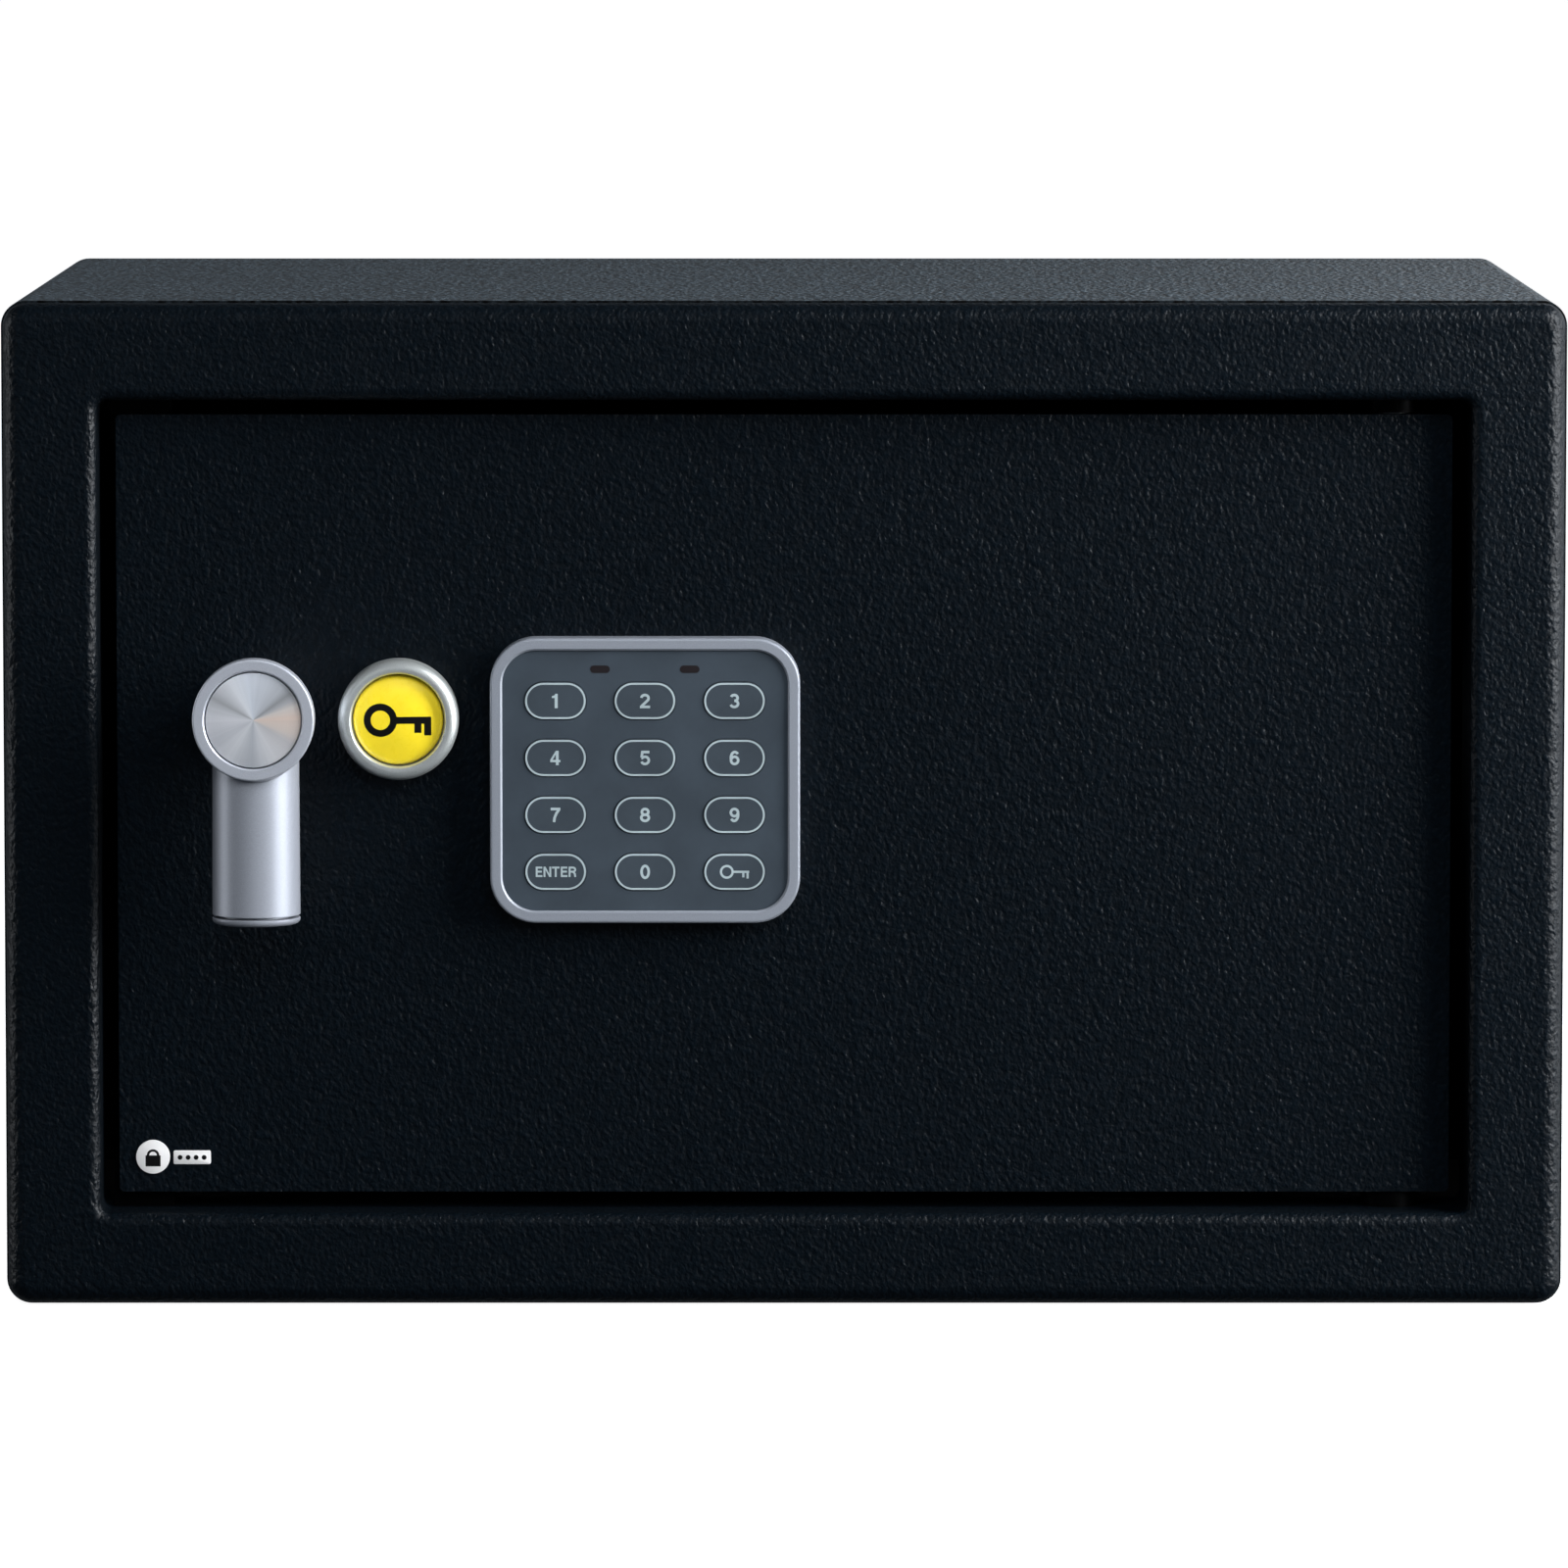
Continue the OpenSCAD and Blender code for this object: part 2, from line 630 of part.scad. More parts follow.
module bolt_screws() color("#8f9499") for (i = [0, 1]) {
    rod_x(bolt_y, bolt_z(i), 3.5, bolt_root + tab_t, bolt_root + tab_t + 3);
    rod_x(bolt_y, bolt_z(i), 2, bolt_root - 10, bolt_root + tab_t);
}

module plunger() color("#c9ccd0") {
    rod_z(plunger_x, plunger_y, plunger_r, plunger_tip, 88);
    rod_z(plunger_x, plunger_y, 4, plunger_tip + 5, plunger_tip + 6);
}

// Three turns of the return spring, between the plunger's collar and the solenoid
module plunger_spring() color("#b9bdc1") translate([plunger_x, plunger_y, 0]) rotate_extrude()
    for (z = [61.5, 62.5, 63.5]) translate([3.3, z]) circle(0.42, $fn = 16);

// ---------- the key lock ----------

module key_plug() color("#d0b468") difference() {
    union() {
        rod_y(lock_x, lock_z, plug_r, door_y0 - 1.5, door_y0 + barrel_back + 0.3);
        plate(door_y0 + barrel_back + 0.3, door_y0 + barrel_back + 3) translate([lock_x, lock_z])
            square(5, center = true);
    }
    plate(door_y0 - 2, door_y0 + 7) translate([lock_x, lock_z]) square([1.9, 8.4], center = true);
}

module key_cam() color("#b9bdc1") plate(door_y0 + barrel_back + slack, door_y0 + barrel_back + slack + 2)
    translate([lock_x, lock_z]) difference() {
        union() {
            circle(6);
            translate([0, -4]) square([cam_len - 4, 8]);
            translate([cam_len - 4, 0]) circle(4);
        }
        square(5, center = true);
    }

// A round cap over the keyhole: a skirt round the barrel's flange, a floor and a half-round ring
module key_cover_ring() color("#b4b9bd") turned(lock_x, lock_z) {
    ring_r = (cover_r - badge_r - 0.2) / 2;
    translate([barrel_flange_r + slack, slack]) square([cover_r - barrel_flange_r - slack, 2.7]);
    translate([0, 1.8]) square([cover_r, 1.2]);
    translate([cover_r - 2 * ring_r, 1.8]) square([2 * ring_r, 5.2 - ring_r]);
    translate([cover_r - ring_r, 7 - ring_r]) circle(ring_r);
}

module key_cover_badge() color("#f2da1e") turned(lock_x, lock_z) {
    dome_h = dome_r - sqrt(dome_r * dome_r - badge_r * badge_r);
    translate([0, 3]) square([badge_r, 2]);
    translate([0, 5]) intersection() {
        translate([0, dome_h - dome_r]) circle(dome_r, $fn = 360);
        square([badge_r, 3]);
    }
}

// ---------- inside the door ----------

module battery_cover() color("#1b1d1f") translate([(tray_x0 + tray_x1) / 2, 0, (tray_z0 + tray_z1) / 2]) {
    w = tray_x1 - tray_x0;
    h = tray_z1 - tray_z0;
    difference() {
        plate(cover_back + slack, cover_back + slack + 1.5) round_rect(w + 2, h + 2, 3);
        plate(cover_back + slack + 0.8, cover_back + 3) translate([0, h / 2 - 7]) pill(18, 6);
    }
    plate(cover_back - 1.8, cover_back + slack)
        round_rect(w - 2 * window_lap - 1, h - 2 * window_lap - 1, 2);
}

module reset_button() color("#b3282a") {
    rod_y(reset_x, reset_z, 2.5, cover_back - 26, cover_back + 1.6);
    rod_y(reset_x, reset_z, 4, cover_back - 3.5, cover_back - 2.5);
}

// ---------- the keys ----------

module key_cap(column, row) color("#434d52")
    translate([keypad_x, 0, keypad_z]) {
        place = key_offset(column, row);
        plate(door_y0 - key_front, door_y0 - key_back) translate(place) pill(key_w, key_h);
        plate(door_y0 - key_back - 0.3, door_y0 - key_back) translate(place)
            pill(key_w + 2 * key_lip, key_h + 2 * key_lip);
    }

module key_1() key_cap(0, 0);
module key_2() key_cap(1, 0);
module key_3() key_cap(2, 0);
module key_4() key_cap(0, 1);
module key_5() key_cap(1, 1);
module key_6() key_cap(2, 1);
module key_7() key_cap(0, 2);
module key_8() key_cap(1, 2);
module key_9() key_cap(2, 2);
module key_enter() key_cap(0, 3);
module key_0() key_cap(1, 3);
module key_override() key_cap(2, 3);

body_shell();
front_frame();
back_panel();
strike_plate();
hinge_brackets();
door_stops();
floor_mat();
hinge_washers();
door_plate();
hinge_lugs();
hinge_pins();
door_studs();
inner_cover();
cover_screws();
bolt_guides();
solenoid_frame();
solenoid_coil();
handle_bush();
lock_barrel();
lock_nut();
keypad_bezel();
keypad_panel();
keypad_board();
led_lenses();
keypad_cable();
control_board();
battery_tray();
batteries();
battery_contacts();
door_badge();
handle_body();
handle_disc();
handle_end_cap();
handle_spindle();
handle_crank();
crank_screw();
bolt_carriage();
locking_bolts();
bolt_screws();
plunger();
plunger_spring();
key_plug();
key_cam();
key_cover_ring();
key_cover_badge();
battery_cover();
reset_button();
key_1();
key_2();
key_3();
key_4();
key_5();
key_6();
key_7();
key_8();
key_9();
key_enter();
key_0();
key_override();
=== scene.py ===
"""Looks of the compact electronic safe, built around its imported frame. Metres, +X right, -Y front, +Z up."""
import json
import math
import random

import bmesh
import bpy
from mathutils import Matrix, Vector


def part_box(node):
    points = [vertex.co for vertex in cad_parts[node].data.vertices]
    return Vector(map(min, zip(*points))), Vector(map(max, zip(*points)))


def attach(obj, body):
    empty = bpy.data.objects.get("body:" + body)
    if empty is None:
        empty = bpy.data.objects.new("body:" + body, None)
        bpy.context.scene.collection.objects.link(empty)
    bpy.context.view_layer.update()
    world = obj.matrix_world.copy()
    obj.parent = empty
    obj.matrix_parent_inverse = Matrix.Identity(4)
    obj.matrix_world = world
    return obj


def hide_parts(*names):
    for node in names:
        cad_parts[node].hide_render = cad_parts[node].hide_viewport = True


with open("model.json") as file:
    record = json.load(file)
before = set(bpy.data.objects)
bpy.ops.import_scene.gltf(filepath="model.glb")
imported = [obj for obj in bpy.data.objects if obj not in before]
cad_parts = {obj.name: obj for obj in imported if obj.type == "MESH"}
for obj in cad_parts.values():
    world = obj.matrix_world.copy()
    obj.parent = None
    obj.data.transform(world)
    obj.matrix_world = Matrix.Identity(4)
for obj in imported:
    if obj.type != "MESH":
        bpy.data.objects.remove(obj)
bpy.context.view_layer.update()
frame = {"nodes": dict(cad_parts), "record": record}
MM = 0.001
TAU = 2 * math.pi
SLOT_OF = {p["node"]: p["material_slot"] for p in frame["record"]["subparts"]}


# ---------- places taken from the frame ----------

def middle(node):
    low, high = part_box(node)
    return (low + high) / 2


def front(node):
    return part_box(node)[0].y


DOOR_Y = front("door_plate")
HANDLE = middle("handle_disc")
COVER = middle("key_cover_ring")
KEYPAD = middle("keypad_bezel")


# ---------- materials ----------

# Every finish by its name, which for most of them is a slot of the record
FINISHES = {}


class Finish:
    """A Principled material that takes its detail from procedural nodes in object space."""

    def __init__(self, name, color, roughness, metallic=0.0, specular=0.5, **sockets):
        self.material = bpy.data.materials.new(name)
        FINISHES[name] = self.material
        self.material.use_nodes = True
        self.tree = self.material.node_tree
        self.shader = self.tree.nodes["Principled BSDF"]
        self.color = color
        self.set("Base Color", (*color, 1))
        self.set("Roughness", roughness)
        self.set("Metallic", metallic)
        self.set("Specular IOR Level", specular)
        for socket, value in sockets.items():
            self.set(socket.replace("_", " "), value)
        self.place = self.node("ShaderNodeTexCoord").outputs["Object"]
        self.normal = None

    def set(self, socket, value):
        self.shader.inputs[socket].default_value = value

    def node(self, kind, **settings):
        made = self.tree.nodes.new(kind)
        for name, value in settings.items():
            setattr(made, name, value)
        return made

    def feed(self, source, target):
        self.tree.links.new(source, target)

    def stretched(self, scale, turn=(0, 0, 0)):
        mapping = self.node("ShaderNodeMapping")
        mapping.inputs["Scale"].default_value = scale
        mapping.inputs["Rotation"].default_value = turn
        self.feed(self.place, mapping.inputs["Vector"])
        return mapping.outputs["Vector"]

    def noise(self, size, detail=2.0, roughness=0.5, place=None, distortion=0.0):
        """Noise whose lumps are about size metres across."""
        texture = self.node("ShaderNodeTexNoise")
        texture.inputs["Scale"].default_value = 1 / size
        texture.inputs["Detail"].default_value = detail
        texture.inputs["Roughness"].default_value = roughness
        texture.inputs["Distortion"].default_value = distortion
        self.feed(place or self.place, texture.inputs["Vector"])
        return texture.outputs["Fac"]

    def cells(self, size, feature="F1", place=None, smooth=0.6):
        texture = self.node("ShaderNodeTexVoronoi", feature=feature)
        texture.inputs["Scale"].default_value = 1 / size
        if feature == "SMOOTH_F1":
            texture.inputs["Smoothness"].default_value = smooth
        self.feed(place or self.place, texture.inputs["Vector"])
        return texture.outputs["Distance"]

    def math(self, operation, a, b=None, clamp=False):
        made = self.node("ShaderNodeMath", operation=operation, use_clamp=clamp)
        for value, socket in zip((a, b), made.inputs):
            if isinstance(value, (int, float)):
                socket.default_value = value
            elif value is not None:
                self.feed(value, socket)
        return made.outputs[0]

    def ramp(self, factor, stops):
        """Colours or greys at places along a factor."""
        made = self.node("ShaderNodeValToRGB")
        elements = made.color_ramp.elements
        while len(elements) < len(stops):
            elements.new(0.5)
        for element, (at, value) in zip(elements, stops):
            element.position = at
            element.color = (*value, 1) if isinstance(value, tuple) else (value, value, value, 1)
        self.feed(factor, made.inputs["Fac"])
        return made.outputs["Color"]

    def tint(self, factor, low, high, start=0.35, end=0.65):
        """The base colour runs from low times to high times its own value."""
        dark = tuple(c * low for c in self.color)
        light = tuple(c * high for c in self.color)
        self.feed(self.ramp(factor, [(start, dark), (end, light)]), self.shader.inputs["Base Color"])
        return self

    def gloss(self, factor, low, high, start=0.3, end=0.7):
        self.feed(self.ramp(factor, [(start, low), (end, high)]), self.shader.inputs["Roughness"])
        return self

    def bump(self, height, depth, strength=1.0):
        made = self.node("ShaderNodeBump")
        made.inputs["Strength"].default_value = strength
        made.inputs["Distance"].default_value = depth
        self.feed(height, made.inputs["Height"])
        if self.normal:
            self.feed(self.normal, made.inputs["Normal"])
        self.normal = made.outputs["Normal"]
        self.feed(self.normal, self.shader.inputs["Normal"])
        return self


def powder_coat(name, color, grain=1.0, depth=0.22 * MM, lean=(1, 1, 0.8), painted_grain_shade=(0.75, 1.3), top_light=0):
    """Fine-texture powder coat: round pebbles about a millimetre apart with a finer skin on them."""
    f = Finish(name, color, 0.4, specular=0.2)
    leaning = f.stretched(lean, (0, math.radians(-32), 0))
    pebbles = f.noise(0.82 * MM * grain, 1.0, 0.4, leaning, distortion=0.25)
    creases = f.cells(1.05 * MM * grain, "SMOOTH_F1", leaning, 0.6)
    relief = f.math("SUBTRACT", f.math("MULTIPLY", pebbles, 1.3), f.math("MULTIPLY", creases, 0.6))
    # Painted shade: the base colour follows the relief, darker in the creases and lighter on the pebbles.
    f.tint(relief, *painted_grain_shade, 0.15, 0.75)
    # Painted light: faces turned up can get a lighter base colour, standing in for light from above.
    if top_light:
        relief = paint_top_light(f, relief, top_light)
    f.bump(relief, depth)
    f.bump(f.noise(0.3 * MM, 2), 0.015 * MM)
    f.gloss(f.noise(2.2 * MM * grain, 3), 0.36, 0.46)
    return f.material


def paint_top_light(f, relief, top_light, at_sides=0.35):
    """Painted light: lightens the base colour of what faces up, as if lit from above. The relief is full
    there, weaker at the sides and gone on the front edge.
    """
    split = f.node("ShaderNodeSeparateXYZ")
    f.feed(f.place.node.outputs["Normal"], split.inputs["Vector"])
    upward = f.math("MULTIPLY", split.outputs["Z"], 1, clamp=True)
    behind_front = f.math("ADD", split.outputs["Y"], 1, clamp=True)
    lift = f.node("ShaderNodeVectorMath", operation="SCALE")
    f.feed(f.shader.inputs["Base Color"].links[0].from_socket, lift.inputs[0])
    f.feed(f.math("ADD", f.math("MULTIPLY", upward, top_light), 1), lift.inputs["Scale"])
    f.feed(lift.outputs["Vector"], f.shader.inputs["Base Color"])
    share = f.math("ADD", f.math("MULTIPLY", upward, 1 - at_sides), at_sides)
    return f.math("MULTIPLY", f.math("MULTIPLY", relief, behind_front), share)


def smooth_paint(name, color, specular):
    f = Finish(name, color, 0.42, specular=specular)
    f.bump(f.noise(0.7 * MM, 3), 0.02 * MM)
    f.tint(f.noise(18 * MM, 3), 0.8, 1.25)
    f.gloss(f.noise(2.5 * MM, 3), 0.36, 0.5)
    return f.material


def metal(name, color, roughness, brush=(1, 1, 1), line=0.25 * MM, depth=0.004 * MM, wear=0.1, **sockets):
    """Metal with a brushed or rolled grain: brush gives how fine the grain is along each axis."""
    f = Finish(name, color, roughness, metallic=1.0, **sockets)
    grain = f.noise(line, 3, 0.6, f.stretched(brush))
    f.bump(grain, depth)
    f.tint(f.noise(6 * MM, 4, 0.6), 1 - wear, 1 + wear)
    f.gloss(grain, max(roughness - 0.06, 0.04), roughness + 0.08)
    return f.material


def silver_lacquer(name, color, roughness, metallic=0.72):
    f = Finish(name, color, roughness, metallic=metallic, specular=0.5)
    flake = f.noise(0.16 * MM, 2, 0.7)
    f.bump(flake, 0.004 * MM)
    f.tint(flake, 0.9, 1.1)
    f.gloss(f.noise(0.3 * MM, 2), roughness - 0.03, roughness + 0.05)
    return f.material


def plastic(name, color, roughness, grain=0.35 * MM, depth=0.012 * MM, **sockets):
    f = Finish(name, color, roughness, **sockets)
    f.bump(f.noise(grain, 2), depth)
    f.tint(f.noise(12 * MM, 3), 0.9, 1.1)
    f.gloss(f.noise(1.2 * MM, 2), max(roughness - 0.06, 0.03), roughness + 0.06)
    return f.material


# Painted highlights and shade of a turned face, as base colour at angles round its middle, 0 at +X and 90 at
# the top
DISC_LIGHT = {
    -180: (0.86, 0.86, 0.90), -150: (0.70, 0.71, 0.75), -125: (0.84, 0.85, 0.88), -92: (0.56, 0.58, 0.62),
    -62: (0.72, 0.72, 0.74), -32: (0.68, 0.66, 0.67), -18: (0.88, 0.77, 0.70), 4: (0.96, 0.78, 0.68),
    18: (0.90, 0.82, 0.77), 27: (0.60, 0.60, 0.62), 36: (0.42, 0.43, 0.45), 47: (0.64, 0.66, 0.70),
    70: (0.78, 0.81, 0.87), 95: (0.76, 0.80, 0.87), 120: (0.84, 0.86, 0.90), 142: (0.64, 0.65, 0.68),
    151: (0.48, 0.49, 0.51), 162: (0.72, 0.73, 0.76), 180: (0.86, 0.86, 0.90),
}


def spun_aluminium(name, centre):
    """Turned face: fine concentric lines, stretched reflections round the middle and painted highlights and
    shade by angle in its base colour.
    """
    f = Finish(name, (0.70, 0.71, 0.74), 0.36, metallic=0.45, Anisotropic=0.8)
    tangent = f.node("ShaderNodeTangent", direction_type="RADIAL", axis="Y")
    f.feed(tangent.outputs["Tangent"], f.shader.inputs["Tangent"])
    offset = f.node("ShaderNodeVectorMath", operation="SUBTRACT")
    f.feed(f.place, offset.inputs[0])
    offset.inputs[1].default_value = centre
    split = f.node("ShaderNodeSeparateXYZ")
    f.feed(offset.outputs["Vector"], split.inputs["Vector"])
    across, up = split.outputs["X"], split.outputs["Z"]
    radius = f.math("SQRT", f.math("ADD", f.math("MULTIPLY", across, across), f.math("MULTIPLY", up, up)))
    ring = f.node("ShaderNodeTexNoise", noise_dimensions="1D")
    ring.inputs["Scale"].default_value = 1 / (0.12 * MM)
    ring.inputs["Detail"].default_value = 3
    f.feed(radius, ring.inputs["W"])
    f.bump(ring.outputs["Fac"], 0.002 * MM)
    angle = f.math("ARCTAN2", up, across)
    share = f.math("MULTIPLY_ADD", angle, 1 / TAU)
    share.node.inputs[2].default_value = 0.5
    # Painted highlights and shade: the base colour is lighter and darker by angle round the middle.
    glare = f.ramp(share, [((degrees + 180) / 360, shade) for degrees, shade in DISC_LIGHT.items()])
    spoke = f.node("ShaderNodeTexNoise", noise_dimensions="1D")
    spoke.inputs["Scale"].default_value = 9
    spoke.inputs["Detail"].default_value = 4
    f.feed(angle, spoke.inputs["W"])
    spokes = f.math("MULTIPLY", spoke.outputs["Fac"], 0.6)
    rings = f.math("MULTIPLY", ring.outputs["Fac"], 0.4)
    fine = f.ramp(f.math("ADD", spokes, rings), [(0.35, 0.94), (0.65, 1.0)])
    product = f.node("ShaderNodeMix", data_type="RGBA", blend_type="MULTIPLY")
    product.inputs["Factor"].default_value = 1
    f.feed(glare, product.inputs[6])
    f.feed(fine, product.inputs[7])
    f.feed(product.outputs[2], f.shader.inputs["Base Color"])
    return f.material


def felt(name):
    f = Finish(name, (0.022, 0.022, 0.024), 0.95, specular=0.1, Sheen_Weight=0.12, Sheen_Roughness=0.5)
    fibre = f.noise(0.5 * MM, 5, 0.75, distortion=1.5)
    f.bump(fibre, 0.25 * MM)
    f.bump(f.noise(6 * MM, 3), 0.4 * MM)
    f.tint(fibre, 0.5, 1.9)
    return f.material


def board(name):
    """Solder mask over copper tracks."""
    f = Finish(name, (0.018, 0.11, 0.05), 0.35, Coat_Weight=0.5, Coat_Roughness=0.2)
    tracks = f.node("ShaderNodeTexBrick")
    tracks.inputs["Scale"].default_value = 1 / (9 * MM)
    tracks.inputs["Mortar Size"].default_value = 0.04
    tracks.inputs["Color1"].default_value = (*f.color, 1)
    tracks.inputs["Color2"].default_value = (0.014, 0.085, 0.04, 1)
    tracks.inputs["Mortar"].default_value = (0.05, 0.22, 0.09, 1)
    turned = f.node("ShaderNodeMapping")
    turned.inputs["Rotation"].default_value = (math.radians(90), 0, 0)
    f.feed(f.place, turned.inputs["Vector"])
    f.feed(turned.outputs["Vector"], tracks.inputs["Vector"])
    f.feed(tracks.outputs["Color"], f.shader.inputs["Base Color"])
    f.bump(tracks.outputs["Fac"], 0.03 * MM)
    return f.material


def cell_wrap(name, node):
    """Shrink wrap: a black sleeve with a coloured band round one end of each cell."""
    f = Finish(name, (0.5, 0.37, 0.06), 0.3, Coat_Weight=0.6, Coat_Roughness=0.12)
    band, sleeve = f.color, (0.02, 0.02, 0.022)
    low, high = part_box(node)
    split = f.node("ShaderNodeSeparateXYZ")
    f.feed(f.place, split.inputs["Vector"])
    share = f.math("DIVIDE", f.math("SUBTRACT", split.outputs["Z"], low.z), high.z - low.z)
    stops = [(0.0, band), (0.28, band), (0.29, sleeve), (0.71, sleeve), (0.72, band)]
    f.feed(f.ramp(share, stops), f.shader.inputs["Base Color"])
    f.bump(f.noise(2 * MM, 2), 0.02 * MM)
    return f.material


powder_coat("powder_black", (0.0022, 0.0048, 0.0070))
# The shell coat carries painted light: a lighter top and strong painted shading of its grain.
powder_coat("shell_black", (0.0022, 0.0031, 0.0038), 1.2, 0.6 * MM, (1, 0.4, 0.8), (0.02, 4.6), top_light=5.4)
powder_coat("frame_black", (0.0010, 0.0028, 0.0048), 1.0, 0.21 * MM)
smooth_paint("inner_black", (0.0042, 0.0046, 0.0052), 0.4)
# Painted shade: near black with almost no shine, so the hinge parts and door stops read as the dark gap round
# the door.
smooth_paint("gap_shade_black", (0.0006, 0.0007, 0.0008), 0.05)
silver_lacquer("satin_silver", (0.345, 0.362, 0.405), 0.42, 0.3)
# Painted light: a lighter copy of the satin silver for the handle head, whose front face gets little lamp
# light.
silver_lacquer("satin_silver_lit", (0.46, 0.48, 0.53), 0.38, 0.3)
spun_aluminium("spun_disc", HANDLE)
silver_lacquer("nickel_ring", (0.68, 0.71, 0.69), 0.36, 0.72)
silver_lacquer("bezel_silver", (0.285, 0.305, 0.345), 0.38, 0.25)
plastic("yellow_badge", (1.0, 0.76, 0.024), 0.3, 1.5 * MM, 0.002 * MM, Coat_Weight=0.8, Coat_Roughness=0.12)
plastic("keypad_grey", (0.040, 0.052, 0.065), 0.62, 0.22 * MM, 0.008 * MM, specular=0.2)
plastic("key_grey", (0.040, 0.052, 0.064), 0.66, 0.22 * MM, 0.008 * MM, specular=0.2)
plastic("led_dark", (0.013, 0.010, 0.011), 0.5, 0.5 * MM, 0.001 * MM, specular=0.2)
metal("zinc_steel", (0.52, 0.54, 0.57), 0.33, (1, 1, 1), 0.5 * MM, 0.006 * MM, 0.16)
metal("bolt_steel", (0.62, 0.63, 0.65), 0.2, (30, 1, 1), 3 * MM, 0.002 * MM, 0.05)
metal("brass", (0.72, 0.54, 0.22), 0.28, (1, 1, 1), 0.3 * MM)
felt("felt")
board("board_green")
plastic("ribbon_grey", (0.32, 0.33, 0.35), 0.4)
plastic("black_plastic", (0.005, 0.005, 0.0055), 0.5, 0.5 * MM, 0.02 * MM, specular=0.2)
cell_wrap("cell_wrap", "batteries")
metal("contact_plate", (0.7, 0.68, 0.64), 0.24, (1, 1, 20))
plastic("red_plastic", (0.5, 0.02, 0.02), 0.28, Coat_Weight=0.4)
plastic("coil_tape", (0.55, 0.3, 0.03), 0.3, 0.8 * MM, 0.02 * MM, Coat_Weight=0.3)
plastic("badge_silver", (0.88, 0.86, 0.84), 0.4, 0.3 * MM, 0.003 * MM, metallic=0.15)
PRINT_LIGHT = plastic("print_light", (0.37, 0.44, 0.455), 0.5, 0.2 * MM, 0.003 * MM)
PRINT_BLACK = plastic("print_black", (0.004, 0.004, 0.004), 0.4, 0.2 * MM, 0.003 * MM, specular=0.2)


# ---------- mesh tools ----------

def piece(name, bm, finish, body, replaced=(), smooth=32, look=None):
    """Makes a piece that rides on a body. finish is a slot of the record or a material of its own."""
    mesh = to_mesh(name, bm)
    mesh.materials.append(FINISHES[look or finish] if isinstance(finish, str) else finish)
    for polygon in mesh.polygons:
        polygon.use_smooth = True
    mesh.set_sharp_from_angle(angle=math.radians(smooth))
    made = bpy.data.objects.new(name, mesh)
    bpy.context.scene.collection.objects.link(made)
    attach(made, body)
    if replaced:
        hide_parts(*replaced)
    return made


def to_mesh(name, bm):
    bmesh.ops.recalc_face_normals(bm, faces=bm.faces)
    mesh = bpy.data.meshes.new(name)
    bm.to_mesh(mesh)
    bm.free()
    return mesh


def arc(x, y, r, start, end, steps):
    """Points on an arc, its angles in degrees."""
    return [(x + r * math.cos(math.radians(start + (end - start) * i / steps)),
             y + r * math.sin(math.radians(start + (end - start) * i / steps))) for i in range(steps + 1)]


def lathe(bm, profile, centre, axis="Y-", steps=144, sweep=(0, 360)):
    """Turns a profile of (radius, distance) about an axis through centre. Y- points to the front."""
    full = sweep[1] - sweep[0] == 360
    count = steps if full else steps + 1
    rings = []
    for radius, along in profile:
        ring = []
        for i in range(count if radius > 1e-9 else 1):
            turn = math.radians(sweep[0] + (sweep[1] - sweep[0]) * i / steps)
            a, b = radius * math.cos(turn), radius * math.sin(turn)
            at = {"Y-": (a, -along, b), "Z": (a, b, along), "X": (along, a, b)}[axis]
            ring.append(bm.verts.new(Vector(centre) + Vector(at)))
        rings.append(ring)
    for near, far in zip(rings, rings[1:]):
        for i in range(steps):
            j = (i + 1) % count
            corners = []
            for vert in (near[i % len(near)], near[j % len(near)], far[j % len(far)], far[i % len(far)]):
                if vert not in corners:
                    corners.append(vert)
            if len(corners) > 2:
                bm.faces.new(corners)
    return bm


def round_rect(w, h, r, steps=14):
    """(point, outward normal) pairs round a rectangle with round corners, centred."""
    path = []
    for k, (sx, sy) in enumerate([(1, 1), (-1, 1), (-1, -1), (1, -1)]):
        for i in range(steps + 1):
            a = math.radians(90 * k + 90 * i / steps)
            n = (math.cos(a), math.sin(a))
            path.append(((sx * (w / 2 - r) + r * n[0], sy * (h / 2 - r) + r * n[1]), n))
    return path


def pill(w, h, steps=18):
    path = []
    for k, s in enumerate((1, -1)):
        for i in range(steps + 1):
            a = math.radians(-90 + 180 * k + 180 * i / steps)
            n = (math.cos(a), math.sin(a))
            path.append(((s * (w - h) / 2 + h / 2 * n[0], h / 2 * n[1]), n))
    return path


def circle(r, steps=64):
    return [((r * math.cos(TAU * i / steps), r * math.sin(TAU * i / steps)),
             (math.cos(TAU * i / steps), math.sin(TAU * i / steps))) for i in range(steps)]


def sweep(bm, path, profile, centre, y, closed=True):
    """Carries a profile of (offset outward, distance to the front) round a path in X and Z."""
    cx, cz = centre
    rows = [[bm.verts.new((cx + p[0] + n[0] * o, y - d, cz + p[1] + n[1] * o)) for o, d in profile]
            for p, n in path]
    count = len(profile) if closed else len(profile) - 1
    for a, b in zip(rows, rows[1:] + rows[:1]):
        for j in range(count):
            k = (j + 1) % len(profile)
            bm.faces.new((a[j], b[j], b[k], a[k]))
    return rows


def cushion(bm, path, profile, centre, y):
    """A solid cap: a profile swept round a path, closed by a flat face at each end of the profile."""
    rows = sweep(bm, path, profile, centre, y, closed=False)
    bm.faces.new([row[0] for row in rows])
    bm.faces.new([row[-1] for row in rows])


